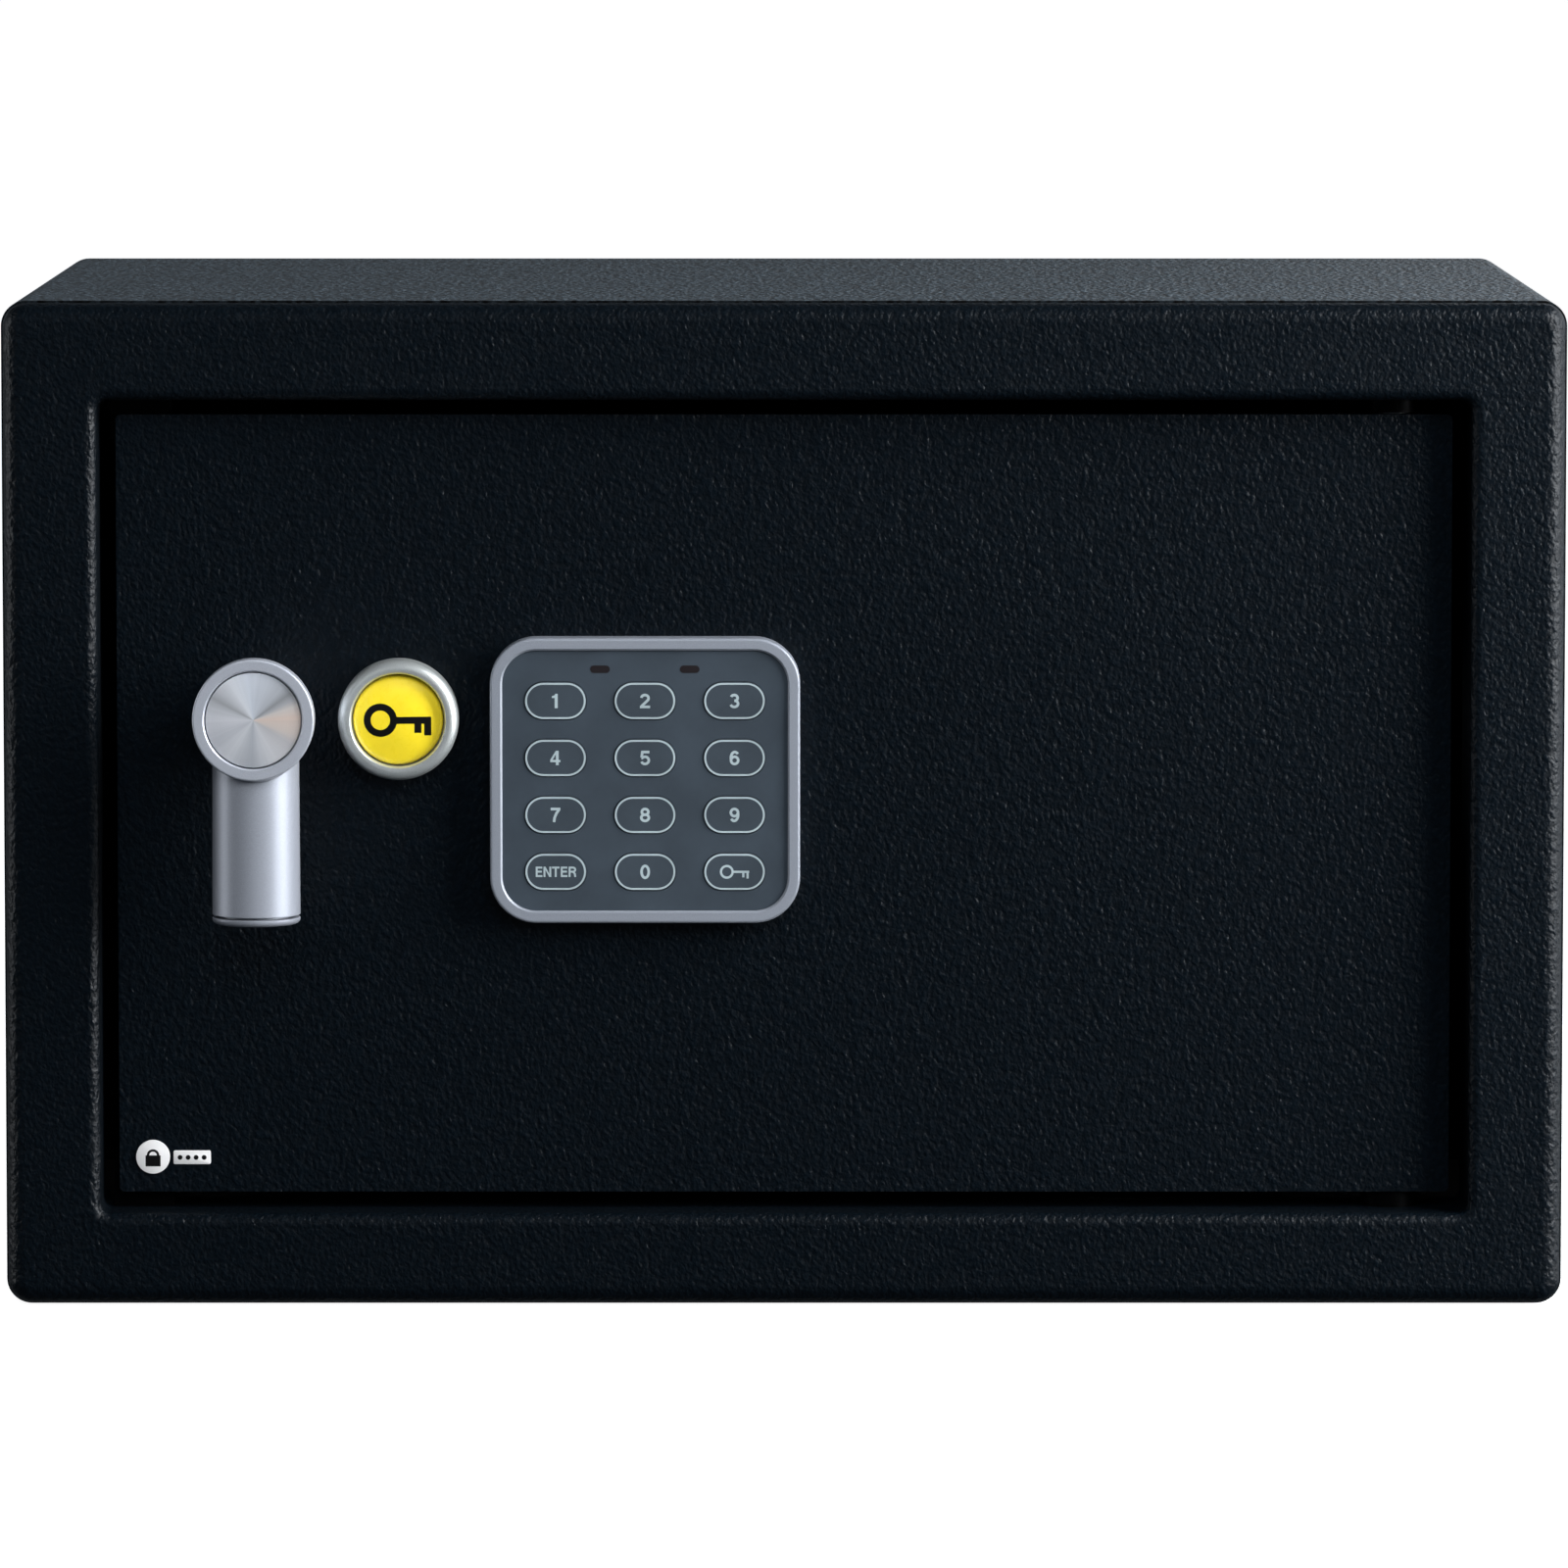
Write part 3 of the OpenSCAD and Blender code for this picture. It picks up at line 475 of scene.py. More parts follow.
def block(bm, low, high):
    x0, y0, z0 = low
    x1, y1, z1 = high
    v = [bm.verts.new(p) for p in [(x0, y0, z0), (x1, y0, z0), (x1, y1, z0), (x0, y1, z0),
                                   (x0, y0, z1), (x1, y0, z1), (x1, y1, z1), (x0, y1, z1)]]
    for f in [(0, 1, 2, 3), (4, 5, 6, 7), (0, 1, 5, 4), (1, 2, 6, 5), (2, 3, 7, 6), (3, 0, 4, 7)]:
        bm.faces.new([v[i] for i in f])


def cut(bm, at, normal):
    """New edges where a plane crosses the mesh."""
    bmesh.ops.bisect_plane(bm, geom=bm.verts[:] + bm.edges[:] + bm.faces[:], plane_co=at, plane_no=normal)


def bevel(made, width, segments=3, angle=40):
    modifier = made.modifiers.new("edges", "BEVEL")
    modifier.width = width
    modifier.segments = segments
    modifier.limit_method = "ANGLE"
    modifier.angle_limit = math.radians(angle)
    modifier.harden_normals = False


# ---------- camera, light and floor ----------

CAMERA_AHEAD = 2.12
CAMERA_HEIGHT = 0.2996
CAMERA_PITCH = 5.26
CAMERA_LENS = 246.6


def make_camera():
    camera = bpy.data.objects.new("camera", bpy.data.cameras.new("camera"))
    camera.data.lens = CAMERA_LENS
    camera.data.sensor_width = 36
    camera.data.clip_end = 100
    camera.location = (0, front("front_frame") - CAMERA_AHEAD, CAMERA_HEIGHT)
    camera.rotation_euler = (math.radians(90 - CAMERA_PITCH), 0, 0)
    bpy.context.scene.collection.objects.link(camera)
    bpy.context.scene.camera = camera


def soft_box(name, place, aim, size, power, mirrored=True, lighting=True):
    """A large lamp out of the picture, which can be left out of reflections or give nothing but them."""
    light = bpy.data.lights.new(name, "AREA")
    light.shape = "RECTANGLE"
    light.size, light.size_y = size
    light.energy = power
    light.color = (0.95, 0.98, 1.02)
    made = bpy.data.objects.new(name, light)
    made.location = place
    made.rotation_euler = (Vector(aim) - Vector(place)).to_track_quat("-Z", "Y").to_euler()
    made.visible_camera = False
    made.visible_glossy = mirrored
    made.visible_diffuse = lighting
    bpy.context.scene.collection.objects.link(made)


def faded(tree, share, stops):
    """Greys at places along one part of a direction, which runs from -1 to 1."""
    lean = tree.nodes.new("ShaderNodeMath")
    lean.operation = "MULTIPLY_ADD"
    tree.links.new(share, lean.inputs[0])
    lean.inputs[1].default_value = 0.5
    lean.inputs[2].default_value = 0.5
    ramp = tree.nodes.new("ShaderNodeValToRGB")
    ramp.color_ramp.interpolation = "EASE"
    elements = ramp.color_ramp.elements
    while len(elements) < len(stops):
        elements.new(0.5)
    for element, (at, grey) in zip(elements, stops):
        element.position = at
        element.color = (grey, grey, grey, 1)
    tree.links.new(lean.outputs[0], ramp.inputs["Fac"])
    return ramp.outputs["Color"]


def make_world():
    """A studio that is bright low behind the object, dim above and dark round the camera."""
    world = bpy.data.worlds.new("studio")
    bpy.context.scene.world = world
    world.use_nodes = True
    tree = world.node_tree
    tree.nodes.clear()
    output = tree.nodes.new("ShaderNodeOutputWorld")
    direction = tree.nodes.new("ShaderNodeTexCoord")
    split = tree.nodes.new("ShaderNodeSeparateXYZ")
    tree.links.new(direction.outputs["Generated"], split.inputs["Vector"])
    behind = faded(tree, split.outputs["Y"], [(0.5, 0.0), (0.85, 1.0)])
    low = faded(tree, split.outputs["Z"],
                [(0.0, 0.2), (0.47, 0.25), (0.51, 1.0), (0.57, 0.8), (0.70, 0.2), (1.0, 0.15)])
    share = tree.nodes.new("ShaderNodeMath")
    share.operation = "MULTIPLY"
    tree.links.new(behind, share.inputs[0])
    tree.links.new(low, share.inputs[1])
    blend = tree.nodes.new("ShaderNodeMix")
    blend.data_type = "RGBA"
    blend.inputs[6].default_value = (0.045, 0.053, 0.063, 1)
    blend.inputs[7].default_value = (0.24, 0.27, 0.30, 1)
    tree.links.new(share.outputs[0], blend.inputs["Factor"])
    studio = tree.nodes.new("ShaderNodeBackground")
    tree.links.new(blend.outputs[2], studio.inputs["Color"])
    paper = tree.nodes.new("ShaderNodeBackground")
    paper.inputs["Color"].default_value = (1, 1, 1, 1)
    seen = tree.nodes.new("ShaderNodeLightPath")
    mix = tree.nodes.new("ShaderNodeMixShader")
    tree.links.new(seen.outputs["Is Camera Ray"], mix.inputs["Fac"])
    tree.links.new(studio.outputs["Background"], mix.inputs[1])
    tree.links.new(paper.outputs["Background"], mix.inputs[2])
    tree.links.new(mix.outputs["Shader"], output.inputs["Surface"])


def make_floor():
    reach = 40.0
    bm = bmesh.new()
    bmesh.ops.create_grid(bm, x_segments=8, y_segments=8, size=reach)
    floor = bpy.data.objects.new("floor", to_mesh("floor", bm))
    f = Finish("paper", (0.86, 0.86, 0.86), 0.9, specular=0.1)
    f.set("Emission Color", (1, 1, 1, 1))
    f.set("Emission Strength", 0.95)
    f.tint(f.noise(0.4, 2), 0.995, 1.005)
    floor.data.materials.append(f.material)
    floor.location.z = -0.5 * MM
    floor.visible_glossy = False
    floor.visible_diffuse = False
    bpy.context.scene.collection.objects.link(floor)


def make_lights():
    middle_of_front = (0.02, -0.09, 0.1)
    soft_box("key", (0.60, -0.36, 0.38), middle_of_front, (0.4, 0.7), 12)
    soft_box("rim", (1.1, -0.20, 0.25), middle_of_front, (0.4, 1.0), 6, lighting=False)
    soft_box("back_rim", (0.85, 0.35, 0.25), middle_of_front, (0.4, 0.9), 2)
    soft_box("edge", (-0.75, -0.10, 0.2), middle_of_front, (0.3, 0.6), 1.6, lighting=False)
    soft_box("sheen", (-0.75, -1.2, 0.6), middle_of_front, (0.35, 0.35), 0.4)
    soft_box("front", (0.1, -1.7, 1.0), middle_of_front, (1.2, 0.8), 19, mirrored=False)
    soft_box("behind", (0.9, 1.2, 0.75), (0.1, 0.0, 0.2), (1.6, 0.8), 3)


# ---------- outer pieces ----------

HEAD_R = (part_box("handle_body")[1].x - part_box("handle_body")[0].x) / 2
TIP_LOW, TIP_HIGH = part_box("handle_end_cap")
STEM_AXIS = (HANDLE.x, (TIP_LOW.y + TIP_HIGH.y) / 2, 0)
TIP_R = (TIP_HIGH.x - TIP_LOW.x) / 2
STEM_R = TIP_R - 0.15 * MM
GROOVE = TIP_LOW.z + 1.35 * MM


def handle_head():
    """A neck on the door and a round head with a seat for the insert."""
    seat_r, neck_r, step = 9.62 * MM, 9.0 * MM, 0.6 * MM
    depth = DOOR_Y - front("handle_body")
    start = 0.3 * MM
    head_back = depth - 5 * MM
    round_out, slope_in, hair = 0.45 * MM, 0.3 * MM, 0.04 * MM
    profile = [(4.0 * MM, start), (neck_r - 0.4 * MM, start), (neck_r, start + 0.4 * MM),
               (neck_r, head_back - step)]
    profile += arc(neck_r + step, head_back - step, step, 180, 90, 5)[1:]
    profile += [(HEAD_R - 0.5 * MM, head_back)]
    profile += arc(HEAD_R - 0.5 * MM, head_back + 0.5 * MM, 0.5 * MM, -90, 0, 6)[1:]
    profile += [(HEAD_R, depth - round_out - hair)]
    profile += arc(HEAD_R - round_out, depth - round_out, round_out, 0, 90, 7)
    profile += [(HEAD_R - round_out - hair, depth), (seat_r + slope_in + hair, depth),
                (seat_r + slope_in, depth), (seat_r, depth - slope_in), (seat_r, depth - slope_in - hair),
                (seat_r, depth - 2.6 * MM), (0, depth - 2.6 * MM)]
    bm = bmesh.new()
    lathe(bm, profile, (HANDLE.x, DOOR_Y, HANDLE.z))
    # The head wears the lighter copy of the satin silver as painted light.
    piece("handle_head", bm, "satin_silver", "handle", ["handle_body"], 28, "satin_silver_lit")


def handle_stem():
    """A round stem down to the groove over its tip."""
    core = TIP_R - 1.8 * MM
    top = GROOVE + 0.5 * MM
    profile = [(0, GROOVE - 0.05 * MM), (core, GROOVE - 0.05 * MM), (core, top + 0.02 * MM),
               (TIP_R - 0.1 * MM, top), (TIP_R, top + 0.12 * MM), (STEM_R, HANDLE.z - 8 * MM),
               (STEM_R, HANDLE.z - 1 * MM), (0, HANDLE.z - 1 * MM)]
    bm = bmesh.new()
    lathe(bm, profile, STEM_AXIS, "Z")
    piece("handle_stem", bm, "satin_silver", "handle", (), 28)


def handle_tip():
    edge = 1.15 * MM
    profile = [(0, TIP_LOW.z)] + arc(TIP_R - edge, TIP_LOW.z + edge, edge, -90, 0, 9)
    profile += [(TIP_R, GROOVE - 0.12 * MM), (TIP_R - 0.12 * MM, GROOVE), (0, GROOVE)]
    bm = bmesh.new()
    lathe(bm, profile, STEM_AXIS, "Z")
    piece("handle_tip", bm, "satin_silver", "handle", ["handle_end_cap"], 28)


def handle_lip():
    """A low ridge round the bottom of the head, where the stem comes out of it."""
    stem_front = DOOR_Y - (STEM_AXIS[1] - STEM_R)
    reach, ridge, sunk, count = 30, 0.45 * MM, 0.1 * MM, 40
    bm = bmesh.new()
    rows = []
    for i in range(count + 1):
        turn = math.radians(-90 - reach + 2 * reach * i / count)
        fade = max(1 - ((i - count / 2) / (count / 2)) ** 2, 0.0) ** 0.5
        x = HEAD_R * math.cos(turn)
        surface = math.sqrt(max(STEM_R ** 2 - x ** 2, 0)) - STEM_R
        row = []
        for o, d in arc(0, 0, ridge * max(fade, 0.05), -60, 200, 8):
            r = HEAD_R + sunk + o
            y = DOOR_Y - (stem_front + surface + d - sunk)
            row.append(bm.verts.new((HANDLE.x + r * math.cos(turn), y, HANDLE.z + r * math.sin(turn))))
        rows.append(row)
    for a, b in zip(rows, rows[1:]):
        for j in range(len(a) - 1):
            bm.faces.new((a[j], b[j], b[j + 1], a[j + 1]))
        bm.faces.new((a[-1], b[-1], b[0], a[0]))
    for end in (rows[0], rows[-1]):
        bm.faces.new(end)
    piece("handle_lip", bm, "satin_silver", "handle", (), 60)


def handle_disc():
    low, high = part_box("handle_disc")
    r = (high.x - low.x) / 2
    t = high.y - low.y
    edge = 0.12 * MM
    profile = [(0, t), (r * 0.5, t)] + arc(r - edge, t - edge, edge, 90, 0, 4) + [(r, 0), (0, 0)]
    bm = bmesh.new()
    lathe(bm, profile, (HANDLE.x, high.y, HANDLE.z))
    piece("handle_insert", bm, "spun_disc", "handle", ["handle_disc"], 30)


def key_cover():
    """A convex ring round a domed badge that carries a plain key sign."""
    low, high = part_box("key_cover_ring")
    r = (high.x - low.x) / 2
    depth = DOOR_Y - low.y
    seat = 9.25 * MM
    profile = [(0, 1.8 * MM), (11.3 * MM, 1.8 * MM), (11.3 * MM, 0.3 * MM), (r - 0.2 * MM, 0.3 * MM),
               (r, 0.5 * MM), (r, depth - 2.1 * MM)]
    steps = 14
    for i in range(1, steps + 1):
        a = math.radians(90 * i / steps)
        profile.append((r - 1.9 * MM * (1 - math.cos(a)), depth - 2.1 * MM + 2.1 * MM * math.sin(a)))
    profile += [(seat + 0.35 * MM, depth - 0.08 * MM), (seat + 0.12 * MM, depth - 0.3 * MM),
                (seat, depth - 0.7 * MM), (seat, 3 * MM), (0, 3 * MM)]
    bm = bmesh.new()
    lathe(bm, profile, (COVER.x, DOOR_Y, COVER.z))
    piece("cover_ring", bm, "nickel_ring", "key_cover", ["key_cover_ring"], 30)

    low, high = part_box("key_cover_badge")
    badge_r = (high.x - low.x) / 2
    top = DOOR_Y - low.y
    rise = 1.3 * MM
    ball = (badge_r ** 2 + rise ** 2) / (2 * rise)

    def dome(x, z):
        return top - ball + math.sqrt(ball ** 2 - x ** 2 - z ** 2)

    crown = badge_r - 0.55 * MM
    profile = [(crown * i / 16, dome(crown * i / 16, 0)) for i in range(17)]
    profile += [(badge_r - 0.2 * MM, dome(crown, 0) - 0.35 * MM), (badge_r, dome(crown, 0) - 0.9 * MM)]
    profile += [(badge_r, 3 * MM), (0, 3 * MM)]
    bm = bmesh.new()
    lathe(bm, profile, (COVER.x, DOOR_Y, COVER.z))
    piece("cover_badge", bm, "yellow_badge", "key_cover", ["key_cover_badge"], 40)

    bm = key_sign(13.2 * MM, 0.105)
    for i in range(-16, 17):
        for normal in ((1, 0, 0), (0, 0, 1)):
            at = tuple(n * i * 0.5 * MM for n in normal)
            cut(bm, at, normal)
    proud, sunk = 0.02 * MM, 0.1 * MM
    for v in bm.verts:
        lift = (proud - HALF if v.co.y < 0 else HALF - sunk) - v.co.y
        v.co = Vector((COVER.x + v.co.x, DOOR_Y - dome(v.co.x, v.co.z) - lift, COVER.z + v.co.z))
    piece("cover_sign", bm, PRINT_BLACK, "key_cover", (), 30)


HALF = 0.5 * MM  # Half the thickness of a sign before it is laid on its face


def join(bm, part):
    """Adds a second open mesh to the first and closes it."""
    mesh = bpy.data.meshes.new("part")
    part.to_mesh(mesh)
    part.free()
    bm.from_mesh(mesh)
    bpy.data.meshes.remove(mesh)


def flat_shape(bm, path, holes=()):
    """A thin slab in X and Z round y = 0 from an outline and round holes in it."""
    flat = bmesh.new()
    edges = []
    for loop in [path, *holes]:
        ring = [flat.verts.new((x, 0, z)) for x, z in loop]
        edges += [flat.edges.new((a, b)) for a, b in zip(ring, ring[1:] + ring[:1])]
    bmesh.ops.triangle_fill(flat, edges=edges, use_beauty=True)
    part = bmesh.new()
    join(part, flat)
    out = bmesh.ops.extrude_face_region(part, geom=part.faces[:])
    for v in [g for g in out["geom"] if isinstance(g, bmesh.types.BMVert)]:
        v.co.y -= 2 * HALF
    for v in part.verts:
        v.co.y = -HALF if v.co.y < -HALF else HALF
    join(bm, part)


def keypad_bezel():
    low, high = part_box("keypad_bezel")
    w, h = high.x - low.x, high.z - low.z
    band, depth, corner = 2.45 * MM, 6.0 * MM, 9.2 * MM
    outer, inner, hair = 0.55 * MM, 0.36 * MM, 0.04 * MM
    profile = [(-band, 0), (0, 0), (0, depth - outer - hair)] + arc(-outer, depth - outer, outer, 0, 90, 7)
    profile += [(-outer - hair, depth), (-band + inner + hair, depth)]
    profile += [(-band + inner, depth), (-band, depth - inner), (-band, depth - inner - hair)]
    bm = bmesh.new()
    sweep(bm, round_rect(w, h, corner, 20), profile, (KEYPAD.x, KEYPAD.z), DOOR_Y)
    piece("bezel", bm, "bezel_silver", "door", ["keypad_bezel"], 30)


def oval(x, y, rx, ry, start=0, end=360, steps=28):
    return [(x + rx * a, y + ry * b) for a, b in arc(0, 0, 1, start, end, steps)]


BAR = 0.17
RING = "ring"
SOLID = "solid"
LINE = "line"
# Each sign is a list of strokes in a box one unit high: how it is drawn, and its points
GLYPHS = {
    "0": [(RING, oval(0, 0, 0.205, 0.415)[:-1])],
    "1": [(SOLID, [(0.13, -0.5), (0.13, 0.5), (0.0, 0.5), (-0.05, 0.39), (-0.2, 0.33), (-0.2, 0.21),
                   (-0.04, 0.21), (-0.04, -0.5)])],
    "2": [(LINE, oval(0, 0.19, 0.205, 0.225, 172, -38, 20) + [(-0.19, -0.36)]),
          (LINE, [(-0.285, -0.415), (0.29, -0.415)])],
    "3": [(LINE, oval(-0.01, 0.21, 0.19, 0.205, 158, -88, 20)),
          (LINE, oval(-0.01, -0.195, 0.215, 0.22, 88, -160, 20))],
    "4": [(SOLID, [(0.02, -0.5), (0.18, -0.5), (0.18, -0.29), (0.28, -0.29), (0.28, -0.14), (0.18, -0.14),
                   (0.18, 0.5), (0.02, 0.5), (-0.3, -0.13), (-0.3, -0.29), (0.02, -0.29)],
           [(0.02, -0.14), (0.02, 0.26), (-0.17, -0.14)])],
    "5": [(LINE, [(0.25, 0.415), (-0.15, 0.415), (-0.195, 0.03)]),
          (LINE, [(-0.2, 0.0)] + oval(0.0, -0.165, 0.215, 0.25, 140, -158, 24))],
    "6": [(RING, oval(0.005, -0.165, 0.205, 0.25)[:-1]),
          (LINE, oval(0.02, 0.0, 0.225, 0.415, 42, 195, 20))],
    "7": [(LINE, [(-0.28, 0.415), (0.27, 0.415)]),
          (LINE, [(0.2, 0.38), (0.04, 0.1), (-0.06, -0.2), (-0.09, -0.5)])],
    "8": [(RING, oval(0, 0.21, 0.185, 0.205)[:-1]), (RING, oval(0, -0.195, 0.215, 0.22)[:-1])],
    "E": [(LINE, [(-0.2, -0.5), (-0.2, 0.5)]), (LINE, [(-0.2, 0.415), (0.28, 0.415)]),
          (LINE, [(-0.2, 0.02), (0.24, 0.02)]), (LINE, [(-0.2, -0.415), (0.29, -0.415)])],
    "N": [(SOLID, [(-0.33, -0.5), (-0.17, -0.5), (-0.17, 0.2), (0.16, -0.5), (0.33, -0.5), (0.33, 0.5),
                   (0.17, 0.5), (0.17, -0.2), (-0.16, 0.5), (-0.33, 0.5)])],
    "T": [(LINE, [(-0.32, 0.415), (0.32, 0.415)]), (LINE, [(0, 0.4), (0, -0.5)])],
    "R": [(LINE, [(-0.24, -0.5), (-0.24, 0.5)]),
          (LINE, [(-0.24, 0.415), (0.05, 0.415)] + oval(0.05, 0.215, 0.19, 0.2, 80, -80, 14)
           + [(0.05, 0.015), (-0.24, 0.015)]),
          (LINE, [(0.06, 0.0), (0.2, -0.18), (0.25, -0.5)])],
}
GLYPHS["key"] = [(RING, oval(-0.265, 0, 0.2, 0.2)[:-1]), (LINE, [(-0.05, 0), (0.5, 0)]),
                 (LINE, [(0.3, 0.0), (0.3, -0.19)]), (LINE, [(0.447, 0.0), (0.447, -0.23)])]
GLYPHS["9"] = [(kind, [(-x, -y) for x, y in points]) for kind, points in GLYPHS["6"]]


def ribbon(bm, points, width, closed=False):
    """A flat bar that follows points in X and Z, with mitred joints and square ends."""
    count = len(points)
    rows = []
    for i, (x, z) in enumerate(points):
        near = points[(i - 1) % count] if closed or i else None
        far = points[(i + 1) % count] if closed or i < count - 1 else None
        ways = [Vector(b) - Vector(a) for a, b in ((near, (x, z)), ((x, z), far)) if a and b]
        ways = [w.normalized() for w in ways]
        along = (ways[0] + ways[-1]).normalized()
        reach = width / 2 / max(along.dot(ways[0]), 0.5)
        side = Vector((-along.y, along.x)) * reach
        rows.append([bm.verts.new((x + s * side.x, y, z + s * side.y))
                     for s, y in ((1, -HALF), (1, HALF), (-1, HALF), (-1, -HALF))])
    pairs = zip(rows, rows[1:] + rows[:1]) if closed else zip(rows, rows[1:])
    for a, b in pairs:
        for j in range(4):
            bm.faces.new((a[j], b[j], b[(j + 1) % 4], a[(j + 1) % 4]))
    if not closed:
        bm.faces.new(rows[0])
        bm.faces.new(rows[-1])


def glyph(bm, sign, height, at=(0, 0), bar=BAR, squeeze=1.0):
    """Adds one sign of GLYPHS, centred at a place in X and Z."""
    apart = 0.004 * MM
    for layer, (kind, *loops) in enumerate(GLYPHS[sign]):
        before = set(bm.verts)
        outline, *holes = [[(at[0] + x * height * squeeze, at[1] + z * height) for x, z in loop]
                           for loop in loops]
        if kind == SOLID:
            flat_shape(bm, outline, holes)
        else:
            ribbon(bm, outline, bar * height, kind == RING)
        for v in set(bm.verts) - before:
            v.co.y += math.copysign(apart * layer, v.co.y)


def key_sign(length, bar):
    """A key lying on its side. bar is the width of its lines over its length."""
    bm = bmesh.new()
    glyph(bm, "key", length, (0, 0), bar)
    return bm


def word(letters, height, pitch, squeeze):
    bm = bmesh.new()
    for i, sign in enumerate(letters):
        glyph(bm, sign, height, ((i - (len(letters) - 1) / 2) * pitch, 0), 0.18, squeeze)
    return bm


def printed(bm, place, face, above=0.02 * MM, below=0.03 * MM):
    """Lays a flat sign on a face whose depth is given: its front lies just proud of the face."""
    for v in bm.verts:
        depth = v.co.y + HALF - above if v.co.y < 0 else v.co.y - HALF + below
        v.co = Vector((v.co.x + place[0], face + depth, v.co.z + place[1]))
    return bm


def keys():
    """Twelve caps, each with a printed outline along its edge and a sign in the middle."""
    names = [p["node"] for p in frame["record"]["subparts"]
             if p["node"].startswith("key_") and p["material_slot"] == "key_grey"]
    for name in names:
        low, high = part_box(name)
        mid = (low + high) / 2
        sign = name[4:]
        lip = 0.8 * MM
        w, h = high.x - low.x - 2 * lip, high.z - low.z - 2 * lip
        t = high.y - low.y
        edge = 0.14 * MM
        profile = [(lip, 0), (lip, 0.3 * MM), (0, 0.3 * MM), (0, t - edge)]
        profile += [(-edge * 0.3, t - edge * 0.3), (-edge, t), (-0.52 * MM, t), (-0.54 * MM, t - 0.02 * MM)]
        bm = bmesh.new()
        cushion(bm, pill(w, h), profile, (mid.x, mid.z), high.y)
        piece(name + "_cap", bm, "key_grey", name, [name], 12)
        line = 0.36 * MM
        profile = [(-edge, t - 0.05 * MM), (-edge, t + 0.015 * MM), (-edge - line, t + 0.015 * MM),
                   (-edge - line, t - 0.05 * MM)]
        bm = bmesh.new()
        sweep(bm, pill(w, h, 24), profile, (mid.x, mid.z), high.y)
        piece(name + "_line", bm, PRINT_LIGHT, name, (), 30)
        face = low.y + 0.02 * MM
        if sign.isdigit():
            bm = bmesh.new()
            glyph(bm, sign, 2.85 * MM, bar=0.18, squeeze=1.22)
        elif sign == "enter":
            bm = word("ENTER", 2.04 * MM, 1.66 * MM, 1.14)
        else:
            bm = key_sign(5.8 * MM, 0.075)
        printed(bm, (mid.x, mid.z), face)
        piece(name + "_sign", bm, PRINT_LIGHT, name, (), 30)


def door_badge():
    """A round foil with a padlock sign and a small plate with four dots."""
    low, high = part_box("door_badge")
    t = high.y - low.y
    disc_r = (high.z - low.z) / 2
    disc = (low.x + disc_r, low.z + disc_r)
    plate_w, plate_h = 7.45 * MM, 2.75 * MM
    plate = (high.x - plate_w / 2, disc[1] - 0.1 * MM)
    edge = 0.12 * MM
    profile = [(0, 0), (0, t - edge), (-edge * 0.3, t - edge * 0.3), (-edge, t)]
    bm = bmesh.new()
    cushion(bm, circle(disc_r, 72), profile, disc, high.y)
    cushion(bm, round_rect(plate_w, plate_h, 0.3 * MM, 4), profile, plate, high.y)
    piece("badge_foil", bm, "badge_silver", "door", ["door_badge"], 40)
    bm = bmesh.new()
    sign = bmesh.new()
    half, foot, shoulder = 1.5 * MM, -1.9 * MM, 0.3 * MM
    flat_shape(sign, [(-half, foot), (half, foot), (half, shoulder), (-half, shoulder)])
    bow = arc(0, shoulder, 1.25 * MM, 0, 180, 20) + arc(0, shoulder, 0.75 * MM, 180, 0, 20)
    flat_shape(sign, bow)
    for v in sign.verts:
        v.co = Vector((v.co.x + disc[0], v.co.y, v.co.z + disc[1]))
    dots = bmesh.new()
    for i in range(4):
        loop = [(p[0] + (i - 1.5) * 1.6 * MM, p[1]) for p, _ in circle(0.48 * MM, 24)]
        flat_shape(dots, loop)
    for v in dots.verts:
        v.co = Vector((v.co.x + plate[0], v.co.y, v.co.z + plate[1]))
    for part in (sign, dots):
        for v in part.verts:
            v.co.y = low.y - 0.015 * MM if v.co.y < 0 else low.y + 0.03 * MM
        join(bm, part)
    piece("badge_sign", bm, PRINT_BLACK, "door", (), 30)


# ---------- inner pieces ----------

def floor_mat():
    """A felt mat with a soft edge and two holes for the anchor bolts."""
    low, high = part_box("floor_mat")
    w, d = high.x - low.x, high.y - low.y
    mid = middle("floor_mat")
    anchors = next(m for m in frame["record"]["mounts"] if m["name"] == "base_anchor_holes")
    spacing = anchors["dims"]["spacing_x_mm"] * MM
    hole_r = 8.4 * MM
    outline = [(p[0] + mid.x, p[1] + mid.y) for p, _ in round_rect(w, d, 3 * MM, 6)]
    ring = [p for p, _ in circle(hole_r, 40)]
    loops = [outline] + [[(s * spacing / 2 + x, y) for x, y in ring] for s in (-1, 1)]
    bm = bmesh.new()
    edges = []
    for loop in loops:
        ring = [bm.verts.new((x, y, high.z)) for x, y in loop]
        edges += [bm.edges.new((a, b)) for a, b in zip(ring, ring[1:] + ring[:1])]
    bmesh.ops.triangle_fill(bm, edges=edges, use_beauty=True)
    for count, low_at, size, normal in ((30, low.x, w, (1, 0, 0)), (18, low.y, d, (0, 1, 0))):
        for i in range(1, count):
            at = tuple(n * (low_at + size * i / count) for n in normal)
            cut(bm, at, normal)
    rng = random.Random(7)
    inner = [v for v in bm.verts if not v.is_boundary]
    for v in inner:
        v.co.z -= rng.uniform(0.0, 0.06) * MM
    out = bmesh.ops.extrude_face_region(bm, geom=bm.faces[:])
    for v in [g for g in out["geom"] if isinstance(g, bmesh.types.BMVert)]:
        v.co.z = low.z
    mat = piece("felt_mat", bm, "felt", "body", ["floor_mat"], 50)
    bevel(mat, 0.8 * MM, 3, 60)


